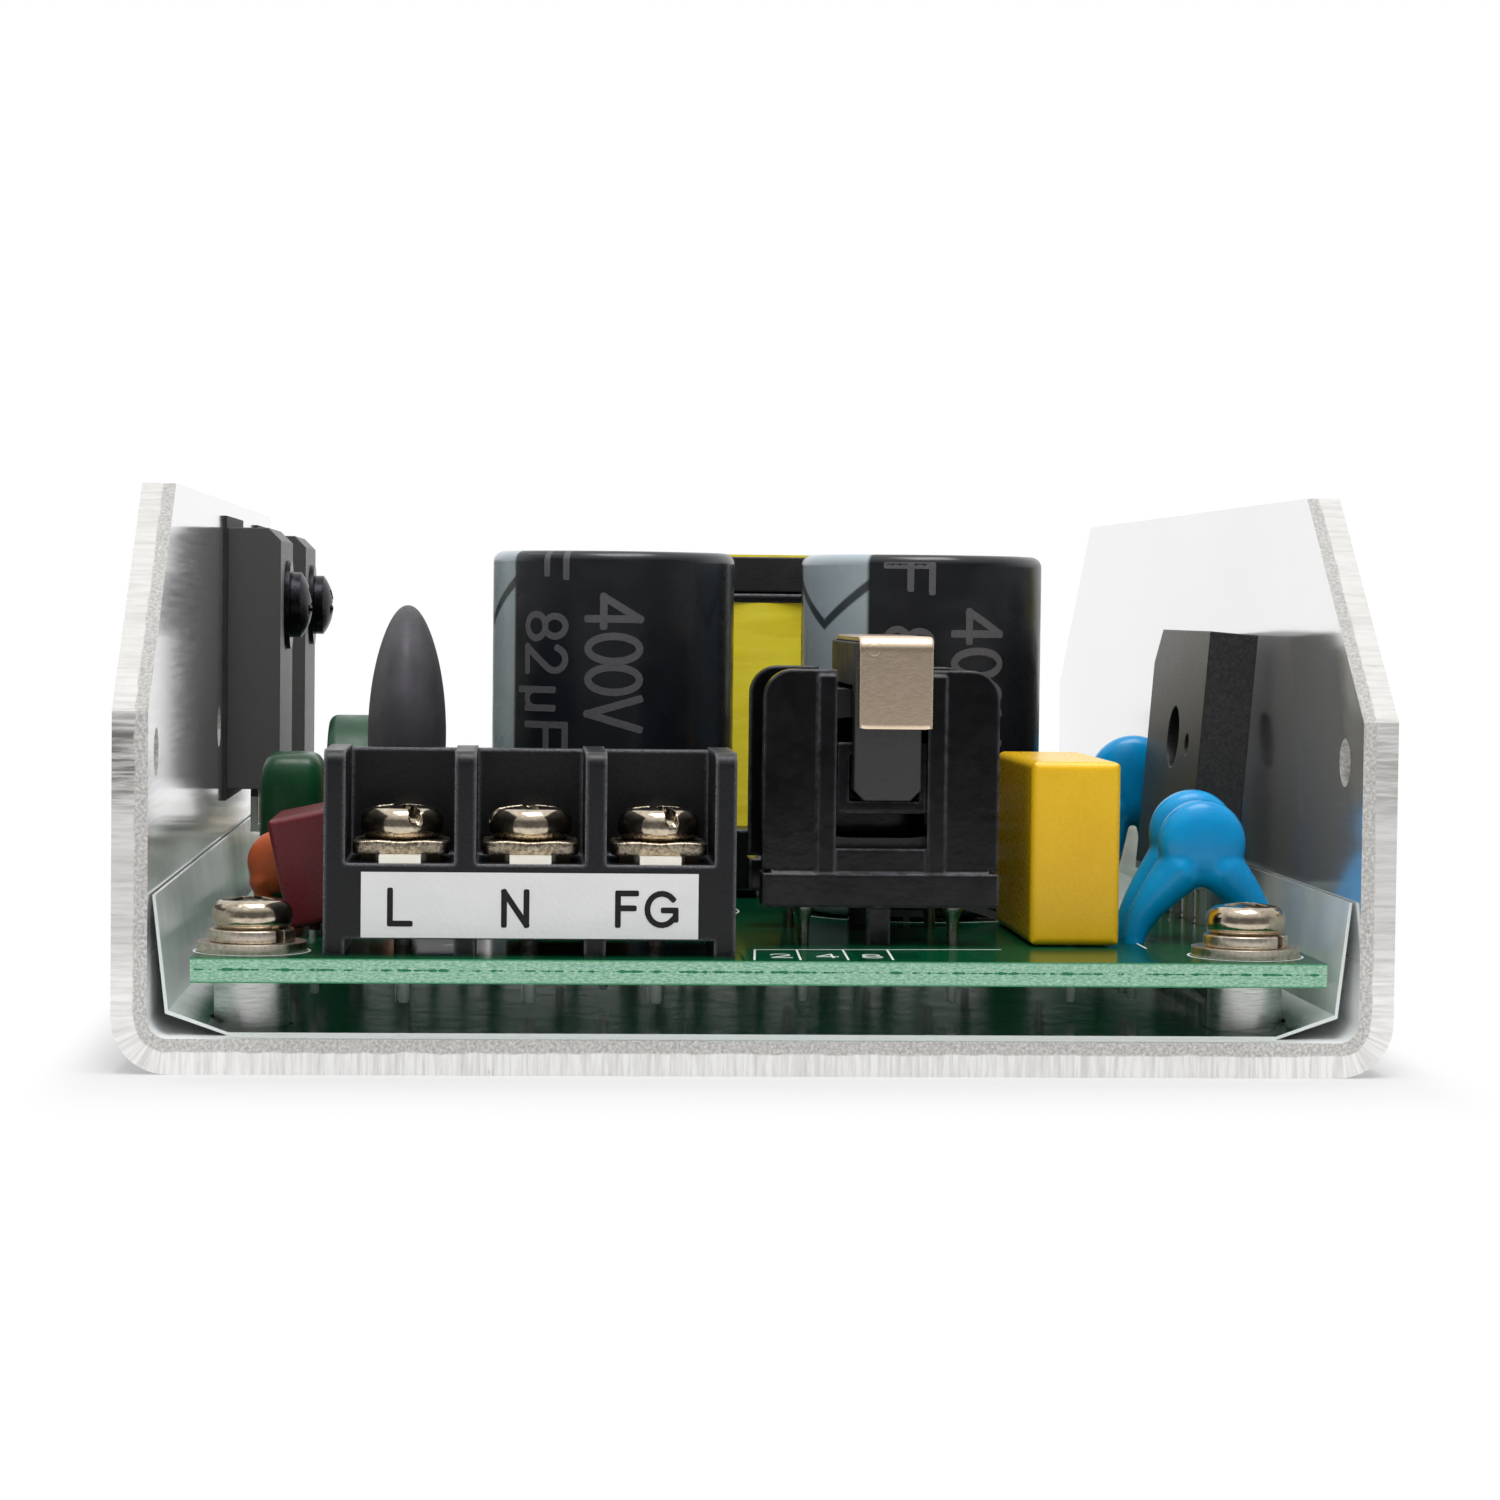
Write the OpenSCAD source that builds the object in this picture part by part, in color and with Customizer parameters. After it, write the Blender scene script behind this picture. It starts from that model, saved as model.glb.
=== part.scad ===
// Open-frame switching power supply on a bent sheet channel.
// Lengths in mm. Origin under the middle of the channel, +Z up, input terminals face -Y.

/* [Channel] */
// thickness of the bent sheet
sheet_t = 2.29; // [1.6:0.01:3]
// height of the side walls
wall_h = 38.1; // [37.5:0.1:44]
// inside radius of the two bends
bend_r = 1.3; // [0.8:0.1:2]
// height of the upright edge under each cut corner
corner_h = 23.1; // [18:0.1:28]
// length of each cut corner along the top
corner_run = 18.4; // [10:0.1:22]
// diameter of the side mounting holes
side_hole_d = 3.2; // [2.6:0.1:4.4]
// distance of the first side hole from the front edge
side_hole_inset = 5.3; // [4:0.1:8]
// spacing of the side holes along a wall
side_hole_pitch = 50.8; // [46:0.1:56]
// height of the side holes
side_hole_z = 20.3; // [17:0.1:21]
// diameter of the tapped base holes
base_hole_d = 2.5; // [2:0.1:4]
// spacing of the base holes across
base_pitch_x = 50.8; // [44:0.1:55]
// spacing of the base holes along
base_pitch_y = 88.9; // [76:0.1:100]

/* [Insulation sheet] */
// thickness of the film
film_t = 0.2; // [0.15:0.05:0.5]
// height of the upturned flaps over the base
film_flap_h = 9; // [6:0.1:10]
// width of the slanted part at each side
film_slant = 4; // [3:0.1:5]
// rise of the slanted part
film_rise = 1.4; // [1:0.1:2.6]
// free space between film and channel
film_gap = 0.12; // [0.05:0.01:0.3]
// free space round a standoff
film_hole_gap = 0.3; // [0.1:0.05:1]
// lean of the upturned flaps, as a sideways run
film_lean = 0.85; // [0.4:0.05:1]
// distance of the film ends from the board ends
film_end = 0.2; // [0.1:0.05:1]

/* [Board] */
// board thickness
board_t = 1.6; // [1:0.1:2.4]
// space between board and side wall
board_side_gap = 2.155; // [1.9:0.005:4]
// sideways offset of the board in the channel
board_shift = 0.4; // [0:0.1:0.8]
// space between board and channel end
board_end_gap = 1.7; // [1:0.1:4]
// diameter of the four board holes
board_hole_d = 3.3; // [3.2:0.05:3.8]
// distance of the holes from the side edges of a centred board
board_hole_x = 3.98; // [3.8:0.02:4.3]
// distance of the board holes from the end edges
board_hole_y = 5.2; // [4.6:0.1:6]
// radial space between a lead and its hole
lead_gap = 0.12; // [0.05:0.01:0.2]

/* [Fasteners] */
// height of the standoffs over the base
standoff_h = 3.4; // [2.8:0.1:8]
// diameter of the standoffs
standoff_d = 4.9; // [4.6:0.1:6.4]
// diameter of the pressed-in end
standoff_press_d = 4.2; // [4:0.1:4.4]
// thread diameter of the screws
screw_d = 3; // [2.8:0.05:3]
// head diameter
head_d = 5.3; // [5:0.1:6]
// head height
head_h = 2.1; // [1.8:0.1:2.6]
// height of the domed part of a head
dome_h = 0.9; // [0.5:0.1:1.2]
// flat washer diameter
washer_d = 7.2; // [6:0.1:7.4]
// flat washer thickness
washer_t = 0.65; // [0.4:0.05:1]
// spring washer diameter
spring_d = 5.6; // [5.2:0.1:6]
// spring washer thickness
spring_t = 0.85; // [0.6:0.05:1.2]
// gap of the split
spring_split = 0.5; // [0.3:0.05:0.8]
// radial space round a screw thread
screw_gap = 0.06; // [0.03:0.01:0.1]
// height of the screw tips over the underside of the channel
screw_tip = 0.75; // [0.5:0.05:1.5]

/* [Terminal blocks] */
// spacing of the cells
cell_pitch = 8.45; // [8.2:0.05:9.5]
// thickness of the ribs between cells
rib_t = 1.4; // [1.1:0.05:1.6]
// cells of the input block
input_cells = 3; // [2:1:4]
// cells of the output block
output_cells = 5; // [3:1:5]
// depth of a block
block_d = 10.6; // [10.2:0.1:12]
// height of a block
block_h = 13.3; // [12.4:0.1:16]
// height of the cell floors
floor_h = 6; // [5:0.1:6.6]
// height of the feet under the ribs
foot_h = 1.1; // [0.8:0.1:1.6]
// thickness of the back wall
back_t = 1.3; // [1:0.1:1.6]
// radius of the rounded front of a rib
rib_r = 0.9; // [0.5:0.1:1.4]
// distance of a block from the board edge
block_setback = 2; // [1:0.1:3]
// distance of the input block from the left board edge
block_inset = 8.33; // [8.2:0.01:10]
// sideways offset of the output block
output_shift = 6.6; // [5:0.1:7.5]
// distance of the wire screws from the block front
wire_screw_y = 4.7; // [4.4:0.1:5]
// head diameter of the wire screws
wire_head_d = 5.5; // [5:0.1:5.8]
// head height of the wire screws
wire_head_h = 2.25; // [1.8:0.05:2.6]
// height of the domed part of those heads
wire_dome_h = 1.1; // [0.6:0.1:1.3]
// side of the square wire clamps
clamp_w = 6.3; // [5.8:0.1:6.4]
// thickness of the wire clamps
clamp_t = 0.9; // [0.6:0.05:1.1]
// thickness of the contact plates
contact_t = 0.5; // [0.4:0.05:0.8]
// width of the contact plates
contact_w = 5.2; // [4.4:0.1:5.8]
// width of the tongue at the front of a contact plate
tongue_w = 2.7; // [2:0.1:3.2]
// height of the label strip
label_h = 4.25; // [3:0.05:4.6]
// margin of the label strip at each end of the block
label_margin = 2.45; // [1.5:0.05:4]
// thickness of the label strip
label_t = 0.15; // [0.1:0.05:0.3]
// distance of the label strip under the cell floors
label_drop = 0.55; // [0.3:0.05:0.6]
// distance of the contact pins from the back wall
contact_pin_back = 1.2; // [1:0.1:1.6]

/* [Common-mode choke] */
// gap between input block and choke
choke_gap = 2.3; // [1.4:0.05:4]
// width of the bobbin
choke_w = 16; // [15.4:0.1:18]
// length of the bobbin
choke_l = 16.4; // [15:0.1:17.4]
// height of the bobbin over the board
choke_h = 18.7; // [18.2:0.05:20]
// distance of the bobbin from the board front
choke_setback = 10.9; // [10:0.1:12]
// thickness of a flange
flange_t = 1.4; // [1:0.1:1.8]
// radius of the upper flange corners
flange_r = 2; // [1:0.1:3]
// height of the underside of the bobbin over the board
bobbin_foot = 2.65; // [2:0.05:3]
// height of the bar that carries the pins
pin_bar_h = 2.3; // [2:0.05:3]
// depth of the bar that carries the pins
pin_bar_d = 3.2; // [2.6:0.1:4]
// width of the core
core_w = 4.5; // [4:0.1:5]
// thickness of the core legs
core_leg = 2.9; // [2.4:0.1:3.1]
// height of the core
core_h = 10.65; // [10.2:0.05:11]
// height of the core underside over the board
core_z = 9.9; // [9.6:0.1:10.2]
// space between core and bobbin
core_gap = 0.15; // [0.1:0.05:0.3]
// wall of the bobbin tube
tube_t = 0.8; // [0.6:0.1:1]
// space between winding and the upper core leg
winding_gap = 0.3; // [0.2:0.05:0.6]
// width of the spring clip
clip_w = 5; // [4:0.1:5.4]
// thickness of the spring clip
clip_t = 0.45; // [0.3:0.05:0.7]
// length of the clip legs
clip_leg = 5.8; // [4:0.1:7]
// sideways offset of the core in the bobbin
core_shift = 0.3; // [0:0.1:0.5]
// sideways offset of the clip on the core
clip_shift = 0.5; // [0:0.1:0.8]
// spacing of the pins across
choke_pin_x = 10.2; // [9:0.1:11]
// radius of the pins
choke_pin_r = 0.4; // [0.3:0.05:0.5]
// width added to the core by the slot of a flange
slot_extra = 1.7; // [1.4:0.1:2.4]
// depth of the slot under the core
slot_drop = 3.3; // [2.6:0.1:3.4]
// reach of the core in front of a flange
core_reach = 1; // [0.9:0.1:1.2]
// thickness of the core yokes
yoke_t = 1.9; // [1.6:0.1:1.9]
// reach of the pin bars in front of a flange
bar_reach = 0.6; // [0.4:0.05:0.8]
// reach of the raised edges beside the slot
slot_rib = 0.5; // [0.3:0.05:0.6]
// width of the raised edges beside the slot
slot_rib_w = 1.25; // [0.8:0.05:1.4]

/* [Line capacitors] */
// gap between choke and film capacitor
x_cap_gap = 2.25; // [1.8:0.05:4]
// width of the film capacitor
x_cap_w = 6.1; // [5:0.1:8]
// length of the film capacitor
x_cap_l = 18; // [17.5:0.1:20]
// height of the film capacitor
x_cap_h = 12.5; // [10:0.1:14]
// radius of its edges
x_cap_r = 0.5; // [0.3:0.1:1.2]
// spacing of its leads
x_cap_pitch = 15; // [12.5:0.1:15.5]
// distance of the film capacitor from the board front
x_cap_setback = 10.8; // [10:0.1:12]
// gap between film capacitor and the first lead of the disc capacitors
y_cap_gap = 1.55; // [1.2:0.05:4]
// diameter of the disc capacitors
y_cap_d = 6.1; // [5.4:0.1:7]
// thickness of the disc capacitors
y_cap_t = 3; // [2.4:0.1:3.2]
// lead spacing of the disc capacitors
y_cap_pitch = 9.45; // [8.6:0.05:9.6]
// height of the disc centres over the board
y_cap_z = 6.9; // [6.4:0.1:8]
// distance of the front disc from the board front
y_cap_setback = 14.6; // [13.4:0.1:15.4]
// distance between the two discs
y_cap_step = 3.7; // [3.5:0.1:4.2]
// space from the last lead to the right board edge
y_cap_margin = 0.93; // [0.9:0.01:4]
// diameter of the disc beside the bridge
far_disc_d = 7.2; // [5:0.1:7.4]
// lead spacing of the disc beside the bridge
far_disc_pitch = 5; // [4:0.1:5.4]
// distance of that disc from the right board edge
far_inset = 3.8; // [3.6:0.1:4.4]
// distance of that disc behind the bridge
far_gap = 5.2; // [4.6:0.1:7]
// height of that disc's lower edge over the board
far_disc_lift = 5.8; // [5:0.1:6.4]
// radius of the coated legs
coat_r = 0.7; // [0.5:0.05:0.75]

/* [Other input parts] */
// diameter of the thermistor
ntc_d = 17; // [14:0.1:18]
// thickness of the thermistor
ntc_t = 5.1; // [4:0.1:6]
// height of the thermistor centre over the board
ntc_z = 14.2; // [13:0.1:15]
// gap between input block and thermistor
ntc_gap = 3.2; // [1:0.1:4]
// distance of the thermistor from the left board edge
ntc_x = 13.03; // [12.4:0.01:14]
// lead spacing of the thermistor
ntc_pitch = 7.5; // [5:0.1:9]
// fuse diameter
fuse_d = 8.5; // [7:0.1:9]
// fuse height
fuse_h = 8; // [6:0.1:10]
// lead spacing of the fuse
fuse_pitch = 5.08; // [4.4:0.01:5.6]
// distance of the fuse from the left end of the input block
fuse_inset = 16.05; // [15.6:0.05:17]
// gap between input block and the parts behind it
rear_gap = 2; // [1.6:0.1:3]
// width of the red film capacitor
red_w = 5.2; // [4:0.1:5.4]
// length of the red film capacitor
red_l = 12; // [10:0.1:13]
// height of the red film capacitor over the board
red_h = 8.1; // [7:0.1:10]
// lean of the red film capacitor in degrees
red_lean = 12; // [4:1:13]
// distance of the red film capacitor from the left board edge
red_inset = 7.1; // [6.4:0.1:7.3]
// distance of its leads from its ends
red_pin_end = 1.2; // [1:0.1:2]
// diameter of the orange disc capacitor
orange_d = 4.6; // [3.6:0.1:5]
// thickness of the orange disc capacitor
orange_t = 2.2; // [1.6:0.1:2.4]
// lead spacing of the orange disc capacitor
orange_pitch = 2.6; // [2.4:0.1:3.2]
// distance of the orange disc capacitor from the left board edge
orange_inset = 3.85; // [3.6:0.05:4.4]
// distance of the orange disc capacitor behind the red one
orange_gap = 2; // [1.9:0.1:2.4]
// width of the green film capacitor
green_w = 4.8; // [4:0.1:5.4]
// length of the green film capacitor
green_l = 7.6; // [6:0.1:8]
// height of the green film capacitor over the board
green_h = 11.8; // [9:0.1:12.6]
// distance of the green film capacitor from the left board edge
green_inset = 4.4; // [4.2:0.1:4.8]
// distance of the green film capacitor behind the orange disc
green_gap = 4.2; // [3.8:0.1:4.6]
// distance of its leads from its ends
green_pin_end = 1.3; // [1:0.1:2]
// outside diameter of the ring choke
ring_d = 12.6; // [11:0.1:13.4]
// hole diameter of the ring choke
ring_hole_d = 6.2; // [5:0.1:6.6]
// width of the ring
ring_w = 4.4; // [3.4:0.1:5]
// turns on the ring choke
ring_turns = 9; // [5:1:11]
// wire diameter of the ring choke
ring_wire = 0.7; // [0.5:0.05:0.9]
// distance of the ring choke from the left board edge
ring_inset = 8.6; // [8.2:0.1:8.8]
// gap between the green film capacitor and the ring choke
ring_gap = 1.6; // [1.5:0.1:2]
// inset of its leads from the ring ends
ring_pin_end = 2; // [1.6:0.1:2.6]

/* [Bridge rectifier] */
// thickness of the body
bridge_t = 3.5; // [3:0.1:4]
// length of the body
bridge_l = 22; // [20:0.1:24]
// height of the body
bridge_h = 18.7; // [16:0.1:20]
// height of the body underside over the board
bridge_lift = 2.7; // [2:0.1:4]
// lean towards the wall in degrees
bridge_lean = 4.5; // [0:0.1:5.5]
// space between the top of the body and the wall
bridge_wall_gap = 1.2; // [0.8:0.1:2.4]
// hole diameter
bridge_hole_d = 4.6; // [3:0.1:5]
// distance of the body from the board front
bridge_setback = 26.9; // [25.6:0.1:28]
// lead spacing
bridge_pitch = 5.08; // [4.8:0.01:5.3]
// cut corner that marks the first lead
bridge_bevel = 2.6; // [2:0.1:3.4]

/* [Bulk capacitors] */
// diameter
bulk_d = 18; // [16:0.1:20]
// height of the can
bulk_h = 26.6; // [20:0.1:29]
// gap between the two cans
bulk_pair_gap = 5.1; // [3:0.1:7]
// gap between the line capacitor and the cans
bulk_gap = 1.5; // [1:0.1:4]
// sideways offset of the pair from the board middle
bulk_shift = 2.65; // [1.5:0.05:3.5]
// radius of the rolled rim
bulk_rim = 0.8; // [0.6:0.1:2]
// lead spacing
bulk_pitch = 7.5; // [6:0.1:9]

/* [Transformer] */
// gap between the bulk capacitors and the transformer
xfmr_gap = 3; // [2:0.1:6]
// length of the transformer over its pin rails
xfmr_l = 30; // [28.4:0.1:33]
// width of the core
xfmr_w = 28; // [26.5:0.1:29.5]
// depth of the core
xfmr_core_d = 11; // [9:0.1:13]
// height of the core
xfmr_core_h = 25.2; // [22:0.1:26]
// height of the core underside over the board
xfmr_lift = 1.7; // [1.2:0.1:2.4]
// thickness of the yokes and outer legs
xfmr_yoke = 2.8; // [2.6:0.1:3.6]
// diameter of the middle leg
xfmr_post_d = 9; // [8:0.1:10]
// winding diameter
xfmr_wind_d = 20.2; // [18:0.1:20.4]
// thickness of the bobbin flanges
xfmr_flange_t = 0.7; // [0.6:0.1:1.6]
// reach of the upper flange past the winding, in front and behind
xfmr_lip = 0; // [0:0.1:1.5]
// thickness of the tape round the core
xfmr_tape_t = 0.2; // [0.1:0.05:0.4]
// width of the tape round the core
xfmr_tape_w = 8; // [5:0.1:9]
// pin spacing
xfmr_pitch = 5; // [4.4:0.1:5.2]
// sideways offset from the middle of the bulk capacitors
xfmr_shift = 0.75; // [0:0.05:1.5]
// depth of the pin rails
rail_d = 4.8; // [4:0.1:5]
// radial space round the middle leg
post_gap = 0.2; // [0.1:0.05:0.3]
// wall of the bobbin tube
post_wall = 0.9; // [0.6:0.1:1.2]

/* [Wall devices] */
// width of a power device
device_w = 15.9; // [14:0.1:16.4]
// height of the body
device_h = 20.8; // [18:0.1:21.4]
// thickness of the body
device_t = 4.2; // [4:0.1:5.2]
// height of the hole over the underside of the body
device_hole_h = 14.7; // [13:0.1:15]
// hole diameter
device_hole_d = 3.6; // [3.2:0.1:4]
// height of the body underside over the board
device_lift = 7.9; // [7.6:0.1:8.7]
// lead spacing
device_pitch = 5.45; // [5:0.05:5.6]
// distance of the lead holes from the left board edge
device_lead_x = 2.9; // [2.4:0.1:3.4]
// thickness of the thermal pads
pad_t = 0.3; // [0.2:0.05:0.6]
// margin of a thermal pad round the body
pad_margin = 0.9; // [0.4:0.1:1.2]
// thickness of the washers under the screw heads
device_washer_t = 0.4; // [0.3:0.05:0.8]
// height of those screw heads
device_head_h = 1.7; // [1.5:0.1:2.2]
// distance of the switch in front of the transformer middle
switch_lead = 0.2; // [0:0.1:1.2]
// distance between the two devices
device_step = 35; // [32:0.5:36]
// height at which the leads step inward
device_step_h = 4.4; // [3.6:0.1:5]

/* [Output parts] */
// gap between transformer and output capacitors
out_cap_gap = 3; // [2:0.1:6]
// diameter of the output capacitors
out_cap_d = 10; // [8:0.1:11]
// height of the output capacitors
out_cap_h = 20; // [14:0.1:24]
// gap between output capacitors
out_cap_space = 1.6; // [1:0.1:2.4]
// lead spacing of the output capacitors
out_cap_pitch = 5; // [3.5:0.1:5.4]
// gap between output capacitors and output choke
out_choke_gap = 2.5; // [1.5:0.1:5]
// outside diameter of the output choke
out_choke_d = 16; // [15:0.1:17]
// hole diameter of the output choke
out_choke_hole_d = 8.4; // [7.4:0.1:9]
// height of the output choke core
out_choke_h = 6.4; // [5:0.1:8]
// turns of the output choke
out_choke_turns = 14; // [8:1:16]
// wire diameter of the output choke
out_choke_wire = 0.9; // [0.6:0.05:1.1]
// sideways offset of the output choke from the transformer
out_choke_shift = 9; // [8:0.1:9.6]
// gap between output choke and output block
out_block_gap = 2.75; // [2:0.05:5]
// length of the control chip
chip_l = 9.6; // [8:0.1:10]
// width of the control chip body
chip_w = 6.4; // [6:0.1:6.6]
// height of the chip bodies
chip_t = 3.3; // [2.6:0.1:3.8]
// row spacing of the chip leads
chip_row = 7.62; // [7.3:0.01:7.8]
// length of the optocoupler
opto_l = 4.6; // [4.2:0.1:5]
// distance of the chips from the left board edge
chip_inset = 15.2; // [15:0.1:15.6]
// distance of the control chip behind the transformer middle
chip_shift = 2; // [1.6:0.1:2.6]
// spacing of the chip leads
chip_pitch = 2.54; // [2.4:0.01:2.6]
// gap between optocoupler and supply capacitor
opto_gap = 3; // [2:0.1:3.4]
// diameter of the small supply capacitor
aux_cap_d = 6.3; // [5:0.1:7]
// height of the small supply capacitor
aux_cap_h = 8.4; // [6:0.1:9]
// lead spacing of the small supply capacitor
aux_pitch = 2.5; // [2:0.1:3]
// gap between control chip and supply capacitor
aux_gap = 2; // [1.4:0.1:2.4]
// diameter of the film resistors
resistor_d = 3.2; // [2:0.1:3.6]
// body length of the film resistors
resistor_l = 9; // [6:0.1:10]
// lead spacing of the film resistors
resistor_pitch = 12.7; // [12.4:0.1:14]
// distance of the resistors from the left board edge
resistor_inset = 13; // [12.6:0.1:13.4]
// distance of the first resistor behind the optocoupler
resistor_gap = 4.5; // [4:0.1:5]
// gap between the resistors
resistor_space = 1.4; // [1:0.1:2]

/* [Hidden] */
$fn = 48;
// facets of small parts
small_fn = 24;
// overlap used inside one union or cut
lap = 0.4;
// through cuts reach this far past the material
past = 1;
// cross recess of a screw: share of the head, width, depth and turn
recess_share = 0.56;
recess_w = 0.8;
recess_h = 1.1;
recess_turn = 20;
// straight slot of a wire screw: width and depth
drive_slot_w = 0.7;
drive_slot_h = 0.75;
// turn of the first wire screw and of each next one
wire_turn = 25;
wire_turn_step = 40;
// recess in the top of a can and the share of its rim it spares
can_recess = 0.4;
can_rim_share = 2.2;
// rims of the small cans
out_rim = 0.8;
aux_rim = 0.6;
// height of parts that stand just clear of the board
seat_gap = 0.2;
// height to which hidden leads reach into a body
lead_reach = 1;
// edge radii of the moulded and pressed pieces
red_r = 0.4;
green_r = 1.2;
clamp_r = 0.25;
ring_r = 0.7;
// height of the dipped bodies over the board and of their leads
dip_lift = 0.5;
dip_lead = 2.6;
// solder fillets: added radius, share of the lead, ring at the tip, heights
fillet_r = 0.5;
tip_share = 0.8;
tip_ring = 0.12;
joint_h = 1;
tip_h = 1.7;

// row sums that set the board
input_w = input_cells * cell_pitch + rib_t;
output_w = output_cells * cell_pitch + rib_t;
board_w = block_inset + input_w + choke_gap + choke_w + x_cap_gap + x_cap_w + y_cap_gap + y_cap_pitch
    + y_cap_margin;
front_row = max(x_cap_setback + x_cap_l, choke_setback + choke_l + clip_t + core_gap);
out_choke_od = out_choke_d + 2 * out_choke_wire;
board_l = front_row + bulk_gap + bulk_d + xfmr_gap + xfmr_l + out_cap_gap + out_cap_d + out_choke_gap
    + out_choke_od + out_block_gap + block_d + block_setback;

// channel
inner_w = board_w + 2 * board_side_gap;
channel_w = inner_w + 2 * sheet_t;
channel_l = board_l + 2 * board_end_gap;
front = -channel_l / 2;
rear = channel_l / 2;
bend_out = bend_r + sheet_t;
wall_in = inner_w / 2;

// board planes and edges
under_z = sheet_t + standoff_h;
top_z = under_z + board_t;
board_x0 = board_shift - board_w / 2;
board_x1 = board_shift + board_w / 2;
board_y0 = front + board_end_gap;
board_y1 = rear - board_end_gap;
hole_spots = [for (x = [board_hole_x - board_w / 2, board_w / 2 - board_hole_x])
    for (y = [board_y0 + board_hole_y, board_y1 - board_hole_y]) [x, y]];
thread_r = screw_d / 2;
bore_r = thread_r + screw_gap;
spring_z = top_z + washer_t;
head_z = spring_z + spring_t;

// rows along the board
in_x0 = board_x0 + block_inset;
in_y0 = board_y0 + block_setback;
choke_x = in_x0 + input_w + choke_gap + choke_w / 2;
choke_y = board_y0 + choke_setback;
x_cap_x = choke_x + choke_w / 2 + x_cap_gap + x_cap_w / 2;
x_cap_y = board_y0 + x_cap_setback + x_cap_l / 2;
y_cap_x = board_x1 - y_cap_margin - y_cap_pitch / 2;
y_cap_y = board_y0 + y_cap_setback;
bulk_y = board_y0 + front_row + bulk_gap + bulk_d / 2;
bulk_step = (bulk_d + bulk_pair_gap) / 2;
bulk_mid = board_shift + bulk_shift;
xfmr_x = bulk_mid + xfmr_shift;
xfmr_y = bulk_y + bulk_d / 2 + xfmr_gap + xfmr_l / 2;
out_cap_y = xfmr_y + xfmr_l / 2 + out_cap_gap + out_cap_d / 2;
out_cap_step = out_cap_d + out_cap_space;
out_choke_x = xfmr_x + out_choke_shift;
out_choke_y = out_cap_y + out_cap_d / 2 + out_choke_gap + out_choke_od / 2;
out_x0 = board_shift + output_shift - output_w / 2;
ntc_cx = board_x0 + ntc_x;
ntc_cy = in_y0 + block_d + ntc_gap + ntc_d / 2;
red_x = board_x0 + red_inset;
red_y = in_y0 + block_d + rear_gap + red_l / 2;
orange_x = board_x0 + orange_inset;
orange_y = red_y + red_l / 2 + orange_gap;
green_x = board_x0 + green_inset;
green_y = orange_y + green_gap + green_l / 2;
ring_x = board_x0 + ring_inset;
ring_y = green_y + green_l / 2 + ring_d / 2 + ring_gap;
fuse_x = in_x0 + fuse_inset;
fuse_y = in_y0 + block_d + rear_gap + fuse_d / 2;
bridge_y = board_y0 + bridge_setback + bridge_l / 2;
far_x = board_x1 - far_inset;
far_y = bridge_y + bridge_l / 2 + far_gap;
switch_y = xfmr_y - switch_lead;
rect_y = switch_y + device_step;
chip_x = board_x0 + chip_inset;
chip_y = xfmr_y + chip_shift;
aux_x = chip_x;
aux_y = chip_y + chip_l / 2 + aux_gap + aux_cap_d / 2;
opto_x = chip_x;
opto_y = aux_y + aux_cap_d / 2 + opto_gap + opto_l / 2;
resistor_x = board_x0 + resistor_inset;
resistor_y = opto_y + opto_l / 2 + resistor_gap;

// lead radii
wire_r = 0.4;
contact_pin_r = 0.6;
flat_lead_r = 0.72;
flat_lead = [0.6, 1.2];
chip_lead = [0.3, 0.5];
chip_lead_r = 0.34;

// lead places as [x, y, radius]
function across(x, y, pitch, r) = [[x - pitch / 2, y, r], [x + pitch / 2, y, r]];
function along(x, y, pitch, r) = [[x, y - pitch / 2, r], [x, y + pitch / 2, r]];
function line_y(x, y, n, pitch, r) = [for (i = [0 : n - 1]) [x, y + (i - (n - 1) / 2) * pitch, r]];
function line_x(x, y, n, pitch, r) = [for (i = [0 : n - 1]) [x + (i - (n - 1) / 2) * pitch, y, r]];
pin_y = block_d - back_t - contact_pin_back;
in_pins = line_x(in_x0 + input_w / 2, in_y0 + pin_y, input_cells, cell_pitch, contact_pin_r);
out_front = board_y1 - block_setback;
out_pins = line_x(out_x0 + output_w / 2, out_front - pin_y, output_cells, cell_pitch, contact_pin_r);
choke_pin_y0 = choke_y + pin_bar_d / 2 - bar_reach / 2;
choke_pin_y1 = choke_y + choke_l - pin_bar_d / 2 + bar_reach / 2;
choke_spots = concat(across(choke_x, choke_pin_y0, choke_pin_x, choke_pin_r),
    across(choke_x, choke_pin_y1, choke_pin_x, choke_pin_r));
x_cap_pins = along(x_cap_x, x_cap_y, x_cap_pitch, wire_r);
y_front_pins = across(y_cap_x, y_cap_y, y_cap_pitch, wire_r);
y_rear_pins = across(y_cap_x, y_cap_y + y_cap_step, y_cap_pitch, wire_r);
far_pins = across(far_x, far_y, far_disc_pitch, wire_r);
bulk_l_pins = across(bulk_mid - bulk_step, bulk_y, bulk_pitch, wire_r);
bulk_r_pins = across(bulk_mid + bulk_step, bulk_y, bulk_pitch, wire_r);
ntc_pins = along(ntc_cx, ntc_cy, ntc_pitch, wire_r);
fuse_pins = across(fuse_x, fuse_y, fuse_pitch, wire_r);
red_pins = along(red_x, red_y, red_l - 2 * red_pin_end, wire_r);
orange_pins = across(orange_x, orange_y, orange_pitch, wire_r);
green_pins = along(green_x, green_y, green_l - 2 * green_pin_end, wire_r);
ring_pins = along(ring_x, ring_y, ring_d - 2 * ring_pin_end, wire_r);
bridge_run = bridge_h * sin(bridge_lean) + bridge_t * cos(bridge_lean) / 2;
bridge_base_x = wall_in - bridge_wall_gap - bridge_run;
bridge_pins = line_y(bridge_base_x, bridge_y, 4, bridge_pitch, flat_lead_r);
device_spot = board_x0 + device_lead_x;
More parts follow.
